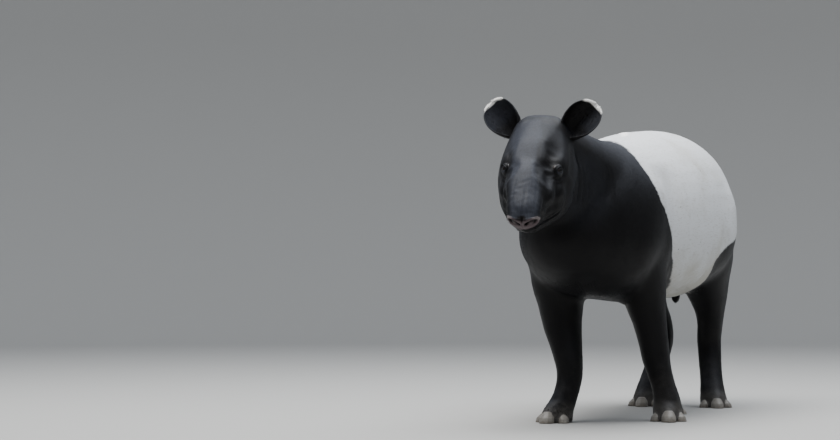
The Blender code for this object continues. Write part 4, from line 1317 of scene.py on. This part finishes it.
    def add_ears(self, skin: Surface) -> Surface:
        """Join the ears to the skin, and blend the skin round their roots.

        Returns:
            The skin with both ears.
        """
        for side in SIDES.values():
            ear = EAR.build(side)
            union = skin.obj.modifiers.new("ear", "BOOLEAN")
            union.operation = "UNION"
            union.solver = "EXACT"
            union.object = ear
            finish_modifiers(skin.obj)
            bpy.data.objects.remove(ear)
        keep_largest(skin.obj)
        joined = Surface(skin.obj)
        weight = np.zeros(len(joined.points))
        for side in SIDES.values():
            local = to_local(joined.points, EAR.axes(side))
            round_root = ease(np.linalg.norm(local, axis=1), 0.062, 0.040)
            weight = np.maximum(weight, round_root)
        joined.smooth(8, weight, keep_size=False)
        for side in SIDES.values():
            local = to_local(joined.points, EAR.axes(side))
            on_ear = (local[:, 2] > 0.04) & (np.linalg.norm(local, axis=1) < 0.17)
            joined.smooth(2, on_ear.astype(float))
        joined.points += joined.normals() * (MARKINGS.ear_rim(joined.points) * EAR.rim_swells)[:, None]
        joined.write()
        return joined

    def mark(self, skin: Surface) -> None:
        """Keep the markings on the skin's vertices."""
        normals = skin.normals()
        for name, values in markings(skin.points, normals).items():
            put_attribute(skin.obj, name, values)
        put_attribute(skin.obj, "tone", np.full(len(skin.points), 0.5))


def markings(points: np.ndarray, normals: np.ndarray) -> dict[str, np.ndarray]:
    """Return every marking's value at some points of the skin, by name, with the painted highlight and
    painted shade among them.
    """
    return {
        "saddle": MARKINGS.saddle(points),
        "rim": MARKINGS.ear_rim(points),
        "bare": MARKINGS.bare(points),
        # Painted shade, in the nostrils, the hollows over the eyes and the ears' insides.
        "shade": np.maximum(MARKINGS.shade(points), MARKINGS.ear_hollow(points, normals) * 0.55),
        "down": LIE.downward(points, normals),
        # Painted highlight, where the hair faces up and on the brow band, lids, ears and neck.
        "top": MARKINGS.lit(points, normals),
        "nose_rim": MARKINGS.nose_rim(points),
    }


def put_attribute(obj: bpy.types.Object, name: str, values: np.ndarray) -> None:
    """Keep one number a vertex on an object."""
    attribute = obj.data.attributes.get(name) or obj.data.attributes.new(name, "FLOAT", "POINT")
    attribute.data.foreach_set("value", np.asarray(values, np.float32))


def shade_smooth(obj: bpy.types.Object) -> None:
    """Shade an object smooth."""
    activate(obj)
    bpy.ops.object.shade_smooth()


def dress(obj: bpy.types.Object, material: bpy.types.Material) -> None:
    """Give a piece its finish and let it ride on the body."""
    obj.data.materials.clear()
    obj.data.materials.append(material)
    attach(obj, BODY)
    LOG.info("%s: %d faces", obj.name, len(obj.data.polygons))


@dataclass
class Eyes:
    """Two wet eyeballs, each with a raised cornea."""

    bulge: float = 0.0011
    segments: int = 48
    rings: int = 32

    def build(self, finish: EyeFinish) -> None:
        """Make both eyes and let them stand for their solids."""
        material = finish.material()
        for word, side in SIDES.items():
            axes = HEAD.eye_axes(side)
            deselect()
            bpy.ops.mesh.primitive_uv_sphere_add(
                segments=self.segments, ring_count=self.rings, radius=HEAD.eye_radius, location=(0, 0, 0)
            )
            eye = bpy.context.view_layer.objects.active
            eye.name = f"eyeball_{word}"
            turns = []
            for vert in eye.data.vertices:
                turn = math.degrees(vert.co.angle(Vector((0, 0, 1))))
                turns.append(turn)
                vert.co *= 1 + self.bulge / HEAD.eye_radius * float(ease(np.array(turn), 46.0, 12.0))
            eye.data.transform(axes)
            put_attribute(eye, "turn", np.array(turns))
            shade_smooth(eye)
            dress(eye, material)
            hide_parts(f"eye_{word}")


@dataclass
class Hooves:
    """Every hoof: rounded horn over its own solid, flat where it stands."""

    voxel: float = 0.0021

    def build(self, finish: HornFinish) -> list[bpy.types.Object]:
        """Make each hoof and let it stand for its solid.

        Returns:
            The hooves.
        """
        material = finish.material()
        made = []
        for node in sorted(name for name in frame["nodes"] if name.startswith("hoof")):
            obj = joined_copy(node.replace("hoof", "horn"), [node])
            remeshed(obj, self.voxel)
            horn = Surface(obj)
            low = horn.points[:, 2].min()
            horn.smooth(5, ease(horn.points[:, 2], low + 0.0004, low + 0.003), keep_size=False)
            middle = horn.points.mean(axis=0)
            away = horn.points - middle
            around = np.arctan2(away[:, 1], away[:, 0])
            wave = 0.00018 * np.sin(horn.points[:, 2] * 1150.0 + 0.7 * np.sin(around * 3))
            wave = wave * ease(horn.points[:, 2], low + 0.001, low + 0.006)
            horn.points += horn.normals() * wave[:, None]
            horn.write()
            shade_smooth(obj)
            dress(obj, material)
            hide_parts(node)
            made.append(obj)
        return made


@dataclass(frozen=True)
class Hair:
    """The sizes of one kind of tuft. A tuft without a bend is a flat wedge of four faces.

    Lengths and widths are in metres, and lift, bend and scatter in degrees. Lit as skin, a tuft takes
    its normals from the skin under it.
    """

    length: float
    width: float
    lift: float
    bend: float = 0.0
    scatter: float = 10.0
    vary: float = 0.30
    lit_as_skin: bool = True

    def faces(self) -> list[tuple[int, ...]]:
        """Return the faces of one tuft, by corner. The bent tuft's face inwards, the wedge's outwards."""
        if self.bend:
            return [(0, 1, 2), (0, 3, 4, 1), (1, 4, 5, 2), (2, 5, 3, 0), (3, 6, 4), (4, 6, 5), (5, 6, 3)]
        return [(0, 3, 2), (1, 2, 3), (0, 2, 1), (0, 1, 3)]

    def spread(self) -> np.ndarray:
        """Return where one tuft's corners lie on its patch of the unwrap."""
        if self.bend:
            corners = [
                (-0.5, -0.5), (0.5, -0.5), (0.0, -0.3), (-0.4, 0.1), (0.4, 0.1), (0.0, 0.2), (0.0, 0.5),
            ]
        else:
            corners = [(-0.5, -0.5), (0.5, -0.5), (0.0, 0.0), (0.0, 0.5)]
        return np.array(corners)


class SkinMap:
    """An unwrap of the skin's own shape, read at any place on it."""

    def __init__(self, skin: bpy.types.Object, faces: int) -> None:
        """Unwrap a lighter copy of the skin.

        Args:
            skin: The skin.
            faces: About how many triangles the copy keeps.
        """
        copy = bpy.data.objects.new("skin_copy", skin.data.copy())
        bpy.context.scene.collection.objects.link(copy)
        thin = copy.modifiers.new("lighter", "DECIMATE")
        thin.ratio = faces / (2 * len(skin.data.polygons))
        finish_modifiers(copy)
        activate(copy)
        bpy.ops.object.mode_set(mode="EDIT")
        bpy.ops.mesh.select_all(action="SELECT")
        bpy.ops.mesh.quads_convert_to_tris()
        bpy.ops.uv.smart_project(angle_limit=math.radians(66), island_margin=0.002)
        bpy.ops.object.mode_set(mode="OBJECT")
        mesh = copy.data
        self.corners = np.empty(len(mesh.vertices) * 3)
        mesh.vertices.foreach_get("co", self.corners)
        self.corners = self.corners.reshape(-1, 3)
        self.faces = np.array([polygon.vertices[:] for polygon in mesh.polygons])
        spread = np.empty(len(mesh.loops) * 2)
        mesh.uv_layers.active.data.foreach_get("uv", spread)
        self.uvs = spread.reshape(-1, 3, 2)
        self.tree = BVHTree.FromPolygons([Vector(row) for row in self.corners], self.faces.tolist())
        bpy.data.objects.remove(copy)

    def read(self, points: np.ndarray) -> np.ndarray:
        """Return the unwrapped place of each point."""
        nearest = [self.tree.find_nearest(Vector(point)) for point in points]
        faces = np.array([found[2] for found in nearest])
        places = np.array([found[0][:] for found in nearest])
        a, b, c = (self.corners[self.faces[faces, i]] for i in range(3))
        first, second, there = b - a, c - a, places - a
        d00, d01, d11 = ((p * q).sum(axis=1) for p, q in ((first, first), (first, second), (second, second)))
        d20, d21 = (there * first).sum(axis=1), (there * second).sum(axis=1)
        scale = np.maximum(d00 * d11 - d01 * d01, 1e-16)
        v, w = (d11 * d20 - d01 * d21) / scale, (d00 * d21 - d01 * d20) / scale
        shares = np.stack([1 - v - w, v, w], axis=1)[:, :, None]
        return (self.uvs[faces] * shares).sum(axis=1)


class Coat:
    """Tufts of short hair that stand on the skin and lie along it."""

    PATCH = 0.003
    LEAN = 0.07
    LEAST = 1e-9

    def __init__(self, skin: Surface, hair_material: bpy.types.Material, seed: int = 7) -> None:
        """Measure the skin's faces for sowing."""
        self.material = hair_material
        self.draw = np.random.default_rng(seed)
        mesh = skin.obj.data
        mesh.calc_loop_triangles()
        count = len(mesh.loop_triangles)
        corners = np.empty(count * 3, int)
        mesh.loop_triangles.foreach_get("vertices", corners)
        self.triangles = corners.reshape(-1, 3)
        self.points = skin.points
        self.normals = skin.normals()
        first, second, third = (self.points[self.triangles[:, i]] for i in range(3))
        self.areas = np.linalg.norm(np.cross(second - first, third - first), axis=1) / 2
        self.centres = (first + second + third) / 3
        self.facing = unit(np.cross(second - first, third - first))
        self.map = SkinMap(skin.obj, 14000)

    def sow(self, count: int, density: np.ndarray) -> tuple[np.ndarray, np.ndarray]:
        """Pick places on the skin.

        Args:
            count: How many.
            density: How thickly each of the skin's triangles is sown.

        Returns:
            The places and the skin's directions there.
        """
        chance = self.areas * density
        chosen = self.draw.choice(len(chance), size=count, p=chance / chance.sum())
        one, two = self.draw.random(count), self.draw.random(count)
        over = one + two > 1
        one, two = np.where(over, 1 - one, one), np.where(over, 1 - two, two)
        shares = np.stack([1 - one - two, one, two], axis=1)[:, :, None]
        corners = self.triangles[chosen]
        return (self.points[corners] * shares).sum(axis=1), unit((self.normals[corners] * shares).sum(axis=1))

    def grow(
        self, name: str, hair: Hair, places: np.ndarray, outs: np.ndarray, ways: np.ndarray
    ) -> bpy.types.Object:
        """Make one piece of tufts, each a tapered blade of three sides that lies along the skin.

        Args:
            name: The piece's name.
            hair: The tufts' sizes.
            places: Their roots.
            outs: The skin's directions there.
            ways: The ways they lie.

        Returns:
            The piece.
        """
        count = len(places)
        spun = np.radians(self.draw.normal(0.0, hair.scatter, count))[:, None]
        sides = np.cross(outs, ways)
        ways = ways * np.cos(spun) + sides * np.sin(spun)
        sides = unit(np.cross(outs, ways))
        length = hair.length * (1 + hair.vary * self.draw.uniform(-1, 1, count))[:, None]
        width = hair.width * (1 + 0.25 * self.draw.uniform(-1, 1, count))[:, None] / 2
        lift = np.radians(hair.lift * (1 + 0.4 * self.draw.uniform(-1, 1, count)))[:, None]
        bent = lift - math.radians(hair.bend)
        roots = places - outs * 0.0005
        middles = roots + (ways * np.cos(lift) + outs * np.sin(lift)) * length * 0.5
        tips = middles + (ways * np.cos(bent) + outs * np.sin(bent)) * length * 0.5
        thick = outs * width * 0.38
        if hair.bend:
            rows = [
                roots - sides * width, roots + sides * width, roots + thick,
                middles - sides * width * 0.72, middles + sides * width * 0.72, middles + thick * 0.72, tips,
            ]
        else:
            rows = [roots - sides * width, roots + sides * width, middles + thick, tips]
        corners, shape, many = np.stack(rows, axis=1), hair.faces(), len(rows)
        starts = (np.arange(count) * many)[:, None]
        loops = np.concatenate([np.array(face) + starts for face in shape], axis=1).ravel()
        sizes = np.tile([len(face) for face in shape], count)
        mesh = bpy.data.meshes.new(name)
        mesh.vertices.add(count * many)
        mesh.vertices.foreach_set("co", corners.ravel())
        mesh.loops.add(len(loops))
        mesh.loops.foreach_set("vertex_index", loops.astype(np.int32))
        mesh.polygons.add(len(sizes))
        mesh.polygons.foreach_set("loop_start", np.concatenate([[0], np.cumsum(sizes)[:-1]]).astype(np.int32))
        mesh.update(calc_edges=True)
        obj = bpy.data.objects.new(name, mesh)
        bpy.context.scene.collection.objects.link(obj)
        spots = self.map.read(places)[:, None, :] + hair.spread()[None] * self.PATCH
        layer = mesh.uv_layers.new(name="OFBake")
        layer.data.foreach_set("uv", spots.reshape(-1, 2)[loops].astype(np.float32).ravel())
        for label, values in markings(places, outs).items():
            put_attribute(obj, label, np.repeat(values, many))
        put_attribute(obj, "tone", np.repeat(self.draw.random(count), many))
        shade_smooth(obj)
        if hair.lit_as_skin:
            lean = self.draw.normal(0.0, self.LEAN, (count, 2))
            shown = unit(outs + sides * lean[:, :1] + ways * lean[:, 1:] * 0.6)
            mesh.normals_split_custom_set_from_vertices(np.repeat(shown, many, axis=0))
        dress(obj, self.material)
        return obj

    def cover(self, name: str, hair: Hair, count: int, density: np.ndarray) -> bpy.types.Object:
        """Sow and grow tufts that follow the coat's own lie."""
        places, outs = self.sow(count, density + self.LEAST)
        return self.grow(name, hair, places, outs, LIE.ways(places, outs))


@dataclass
class Pelage:
    """Every tuft of the coat, piece by piece."""

    tufts_per_area: float = 118000.0
    most_tufts: int = 49000
    short: Hair = Hair(0.0052, 0.0009, 5.0, scatter=8.0)
    plain: Hair = Hair(0.0100, 0.0011, 4.5, scatter=8.0)
    leg_backs: Hair = Hair(0.013, 0.0012, 11.0, 6.0, 10.0)
    belly: Hair = Hair(0.012, 0.0009, 8.0, 4.0, 8.0)
    nape: Hair = Hair(0.012, 0.0012, 9.0, 5.0, 10.0)
    tail: Hair = Hair(0.015, 0.0014, 10.0, 5.0, 10.0)
    hoof_tops: Hair = Hair(0.0085, 0.0010, 4.0, scatter=12.0)
    ear_faces: Hair = Hair(0.0050, 0.0009, 5.0, scatter=10.0)
    ear_edges: Hair = Hair(0.0050, 0.0011, 9.0, 5.0, 8.0, lit_as_skin=False)
    ear_insides: Hair = Hair(0.0100, 0.0005, 8.0, 4.0, 9.0)
    lash: Hair = Hair(0.0095, 0.00055, 52.0, -16.0, 7.0, 0.2)
    whisker: Hair = Hair(0.021, 0.00045, 38.0, 20.0, 16.0)
    chin: Hair = Hair(0.0085, 0.0006, 20.0, 8.0, 14.0)

    def build(self, coat: Coat, hooves: list[bpy.types.Object]) -> None:
        """Sow the coat over the whole animal, then its fringes."""
        centres = coat.centres
        head = LIE.head_share(centres)
        local = in_head(centres)
        on_ear = self.on_ears(centres)
        eyes = sum(closeness(centres, HEAD.eye_axes(side).translation, 0.030) for side in SIDES.values())
        disc = to_local(centres, HEAD.nose_disc())
        nose = ease(disc[:, 1], 0.026, 0.012) * ease(np.hypot(disc[:, 0], disc[:, 2]), 0.085, 0.065)
        clear = np.clip(1 - eyes - nose, 0, 1) * (1 - on_ear) * self.off_hooves(centres, hooves)
        legs = (centres[:, 2] < 0.45).astype(float)
        face = (local[:, 1] < -0.12).astype(float)
        y = centres[:, 1]
        on_head = (head > 0.5).astype(float)
        body = clear * (1 - on_head) * (1 - legs)
        short, plain = self.short, self.plain
        regions = {
            "coat_face": (short, clear * on_head * face * 2.0, "black_hide"),
            "coat_poll": (plain, clear * on_head * (1 - face), "black_hide"),
            "coat_neck": (plain, body * (y < -0.40), "black_hide"),
            "coat_shoulders": (plain, body * (y >= -0.40) * (y < -0.10), "black_hide"),
            "coat_barrel": (plain, body * (y >= -0.10) * (y < 0.35), "pale_hide"),
            "coat_rump": (plain, body * (y >= 0.35), "pale_hide"),
            "coat_forelegs": (plain, clear * (1 - on_head) * legs * (y < 0.30) * 0.55, "black_hide"),
            "coat_hindlegs": (plain, clear * legs * (y >= 0.30) * 0.55, "black_hide"),
        }
        for name, (hair, density, slot) in regions.items():
            wanted = int(self.tufts_per_area * (coat.areas * density).sum())
            coat.cover(name, hair, min(wanted, self.most_tufts), density)
        self.fringes(coat, hooves, legs, clear)
        self.ears(coat, on_ear)
        self.lashes(coat)
        self.whiskers(coat, clear)

    def off_hooves(self, centres: np.ndarray, hooves: list[bpy.types.Object]) -> np.ndarray:
        """Return 0 on the skin that is inside a hoof, close round one or under a foot, and 1 elsewhere."""
        found = (centres[:, 2] > 0.010).astype(float)
        low = np.flatnonzero(centres[:, 2] < 0.11)
        for hoof in hooves:
            tree = Surface(hoof).tree()
            for i in low:
                near, out, _, away = tree.find_nearest(Vector(centres[i]), 0.012)
                if near is not None and (away < 0.0035 or (Vector(centres[i]) - near).dot(out) < 0):
                    found[i] = 0.0
        return found

    def on_ears(self, centres: np.ndarray) -> np.ndarray:
        """Return 1 where a place is on an ear, and 0 elsewhere."""
        found = np.zeros(len(centres))
        for side in SIDES.values():
            local = to_local(centres, EAR.axes(side))
            inside = (local[:, 2] > 0.030) & (np.abs(local[:, 0]) < 0.08) & (np.abs(local[:, 1]) < 0.10)
            found = np.maximum(found, inside & (local[:, 2] < 0.16))
        return found

    def fringes(
        self, coat: Coat, hooves: list[bpy.types.Object], legs: np.ndarray, clear: np.ndarray
    ) -> None:
        """Grow the longer hair of the belly, the legs' backs, the nape, the tail and the hooves' tops."""
        centres, facing = coat.centres, coat.facing
        back_of_leg = legs * clear * ease(facing[:, 1], 0.35, 0.85) * (centres[:, 2] > 0.06)
        coat.cover("fringe_legs", self.leg_backs, 5200, back_of_leg)
        under = ease(facing[:, 2], -0.75, -0.95) * (centres[:, 2] > 0.36) * (np.abs(centres[:, 0]) < 0.2)
        under = under * (centres[:, 1] > -0.45)
        coat.cover("fringe_belly", self.belly, 4200, under * clear)
        poll = HEAD_MATRIX.translation
        middle_line = np.interp(centres[:, 1], [poll.y, -0.25], [poll.x, 0.0])
        nape = ease(np.abs(centres[:, 0] - middle_line), 0.045, 0.010) * (facing[:, 2] > 0.6)
        nape = nape * (centres[:, 1] < -0.25) * (LIE.head_share(centres) < 0.3)
        coat.cover("fringe_nape", self.nape, 2400, nape * clear)
        tail = self.near_node(centres, "tail", 0.007) * (facing[:, 2] < 0.8)
        coat.cover("fringe_tail", self.tail, 2200, tail * clear)
        around = np.zeros(len(centres))
        for hoof in hooves:
            corners = np.array([vert.co[:] for vert in hoof.data.vertices])
            middle = (corners.min(axis=0) + corners.max(axis=0)) / 2
            top = corners[:, 2].max()
            away = np.linalg.norm((centres - middle)[:, :2], axis=1)
            band = ease(centres[:, 2], top - 0.006, top) * ease(centres[:, 2], top + 0.020, top + 0.008)
            around = np.maximum(around, band * (away < 0.050))
        coat.cover("fringe_hooves", self.hoof_tops, 4200, around * clear)

    def near_node(self, centres: np.ndarray, node: str, reach: float) -> np.ndarray:
        """Return 1 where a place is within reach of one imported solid, and 0 elsewhere."""
        mesh = frame["nodes"][node].data
        faces = [polygon.vertices[:] for polygon in mesh.polygons]
        tree = BVHTree.FromPolygons([vert.co.copy() for vert in mesh.vertices], faces)
        found = np.zeros(len(centres))
        low, high = (np.array(corner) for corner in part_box(node))
        for i in np.flatnonzero(((centres > low - reach) & (centres < high + reach)).all(axis=1)):
            if tree.find_nearest(Vector(centres[i]), reach)[0] is not None:
                found[i] = 1.0
        return found

    def ears(self, coat: Coat, on_ear: np.ndarray) -> None:
        """Grow the hair of the ears: short over both faces, longer inside and along the white edges."""
        rim = MARKINGS.ear_rim(coat.centres)
        both = on_ear * (1 - MARKINGS.ear_rim(coat.centres, 1.6))
        coat.cover("coat_ears", self.ear_faces, 13000, both)
        coat.cover("ear_edges", self.ear_edges, 5000, on_ear * (rim > 0.6))
        inner = np.zeros(len(coat.centres))
        for side in SIDES.values():
            axes = EAR.axes(side)
            local = to_local(coat.centres, axes)
            front = -(coat.facing @ np.array(axes.to_3x3())[:, 1])
            inner = np.maximum(inner, on_ear * ease(front, 0.2, 0.7) * ease(local[:, 2], 0.10, 0.05))
        coat.cover("ear_insides", self.ear_insides, 1200, inner * both)

    def lashes(self, coat: Coat) -> None:
        """Grow the lashes along the upper lids."""
        places, outs, ways = [], [], []
        for side in SIDES.values():
            axes = HEAD.eye_axes(side)
            for angle in np.radians(np.linspace(18.0, 162.0, 46)):
                for row in range(2):
                    across, above = 0.76 * math.cos(angle), (0.53 + 0.05 * row) * math.sin(angle)
                    above -= 0.10 * across
                    turn, spin = math.hypot(across, above), math.atan2(above, across * side)
                    flat = Vector((math.cos(spin), math.sin(spin), 0.0))
                    out = flat * math.sin(turn) + Vector((0, 0, math.cos(turn)))
                    away = flat * math.cos(turn) - Vector((0, 0, math.sin(turn)))
                    places.append(axes @ (out * (HEAD.eye_radius + 0.0016)))
                    outs.append(axes.to_3x3() @ out)
                    ways.append(axes.to_3x3() @ (out * 0.7 + away * 0.35 + Vector((0.0, -0.25, 0.3))))
        flat_outs, leaning = unit(np.array(outs)), unit(np.array(ways))
        sideways = leaning - flat_outs * (leaning * flat_outs).sum(axis=1)[:, None]
        coat.grow("lashes", self.lash, np.array(places), flat_outs, unit(sideways))

    def whiskers(self, coat: Coat, clear: np.ndarray) -> None:
        """Grow the few stiff hairs of the muzzle and the bristles of the chin."""
        local = in_head(coat.centres)
        beside = ease(local[:, 1], -0.36, -0.40) * ease(local[:, 2], -0.085, -0.105)
        beside = beside * (local[:, 2] > -0.155) * (np.abs(local[:, 0]) > 0.022)
        coat.cover("whiskers", self.whisker, 170, beside * clear)
        chin = (local[:, 1] < -0.33) * ease(local[:, 2], -0.165, -0.185) * (local[:, 1] > -0.46)
        coat.cover("chin_hair", self.chin, 1300, chin * clear)


@dataclass(frozen=True)
class Studio:
    """A pale round floor that sweeps up into a wall, soft light from above, and the camera."""

    camera_at: Triple = (1.930, -6.355, 0.460)
    camera_azimuth: float = 23.0
    camera_pitch: float = 2.282
    lens: float = 77.01
    floor_radius: float = 9.5
    floor_lip: float = 0.3
    cove: float = 3.2
    cove_steps: int = 14
    wall_top: float = 7.0
    floor: Colour = (0.37, 0.365, 0.35, 1.0)
    sky: Colour = (0.84, 0.90, 1.0, 1.0)
    sky_strength: float = 0.90

    def build(self) -> None:
        """Set the stage."""
        self.add_camera()
        self.add_floor()
        self.add_light("key", (-1.0, -2.0, 5.6), (0.0, -0.3, 0.7), 3.6, 420.0, (1.0, 0.99, 0.97))
        self.add_light("top", (0.5, 0.9, 5.6), (0.0, 0.2, 0.5), 4.5, 400.0, (0.94, 0.97, 1.0))
        self.add_light("fill", (4.8, -4.2, 2.6), (0.0, 0.0, 0.6), 3.0, 16.0, (1.0, 0.98, 0.95))
        world = bpy.data.worlds.new("studio")
        world.use_nodes = True
        background = world.node_tree.nodes["Background"]
        background.inputs["Color"].default_value = self.sky
        background.inputs["Strength"].default_value = self.sky_strength
        bpy.context.scene.world = world

    def add_camera(self) -> None:
        """Place the camera where the photograph was taken from."""
        azimuth, pitch = math.radians(self.camera_azimuth), math.radians(self.camera_pitch)
        level = math.cos(pitch)
        ahead = Vector((-math.sin(azimuth) * level, math.cos(azimuth) * level, math.sin(pitch)))
        data = bpy.data.cameras.new("camera")
        data.lens = self.lens
        data.sensor_width = 36.0
        camera = bpy.data.objects.new("camera", data)
        camera.location = self.camera_at
        camera.rotation_euler = ahead.to_track_quat("-Z", "Y").to_euler()
        bpy.context.scene.collection.objects.link(camera)
        bpy.context.scene.camera = camera

    def add_floor(self) -> None:
        """Lay the round floor and sweep its edge up into a wall, as one sheet."""
        deselect()
        ground = -0.0008
        start = self.floor_radius - self.floor_lip
        bpy.ops.mesh.primitive_circle_add(vertices=128, radius=start, location=(0, 0, ground))
        floor = bpy.context.view_layer.objects.active
        floor.name = "studio_floor"
        angles = np.linspace(0.0, math.pi / 2, self.cove_steps + 1)
        radii = [self.floor_radius + self.cove * math.sin(angle) for angle in angles]
        heights = [self.cove * (1 - math.cos(angle)) for angle in angles]
        radius, height = start, 0.0
        bpy.ops.object.mode_set(mode="EDIT")
        bpy.ops.mesh.select_all(action="SELECT")
        for wider, higher in zip([*radii, radii[-1]], [*heights, self.wall_top]):
            bpy.ops.mesh.extrude_region_move(TRANSFORM_OT_translate={"value": (0, 0, higher - height)})
            bpy.ops.transform.resize(value=(wider / radius, wider / radius, 1.0))
            radius, height = wider, higher
        bpy.ops.object.mode_set(mode="OBJECT")
        first_ring = start + 0.01
        for vert in floor.data.vertices:
            vert.select = vert.co.xy.length < first_ring
        for part in (*floor.data.edges, *floor.data.polygons):
            part.select = all(floor.data.vertices[i].select for i in part.vertices)
        bpy.ops.object.mode_set(mode="EDIT")
        bpy.ops.mesh.edge_face_add()
        bpy.ops.mesh.select_all(action="SELECT")
        bpy.ops.mesh.normals_make_consistent(inside=True)
        bpy.ops.object.mode_set(mode="OBJECT")
        shade_smooth(floor)
        tree = Tree("studio_floor")
        tree.set(tree.shader.inputs["Base Color"], self.floor)
        tree.shader.inputs["Roughness"].default_value = 0.85
        floor.data.materials.append(tree.material)

    def add_light(self, name: str, at: Triple, to: Triple, size: float, watts: float, colour: Triple) -> None:
        """Add one soft light.

        Args:
            name: Its name.
            at: Where it hangs.
            to: Where it points.
            size: How wide it is.
            watts: How strong it is.
            colour: Its tint.
        """
        data = bpy.data.lights.new(name, "AREA")
        data.size = size
        data.energy = watts
        data.color = colour
        lamp = bpy.data.objects.new(name, data)
        lamp.location = at
        lamp.rotation_euler = (Vector(to) - Vector(at)).to_track_quat("-Z", "Y").to_euler()
        bpy.context.scene.collection.objects.link(lamp)


def main() -> None:
    """Build the tapir's looks, piece by piece."""
    logging.basicConfig(level=logging.INFO, format="%(name)s %(message)s")
    Studio().build()
    finish = CoatFinish()
    builder = Skin()
    skin = builder.build()
    dress(skin.obj, finish.material("coat_on_skin", bumped=True))
    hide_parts(*builder.nodes)
    Eyes().build(EyeFinish())
    hooves = Hooves().build(HornFinish())
    coat = Coat(skin, finish.material("coat_tufts", bumped=False))
    Pelage().build(coat, hooves)
    deselect()


if __name__ == "__main__":
    main()
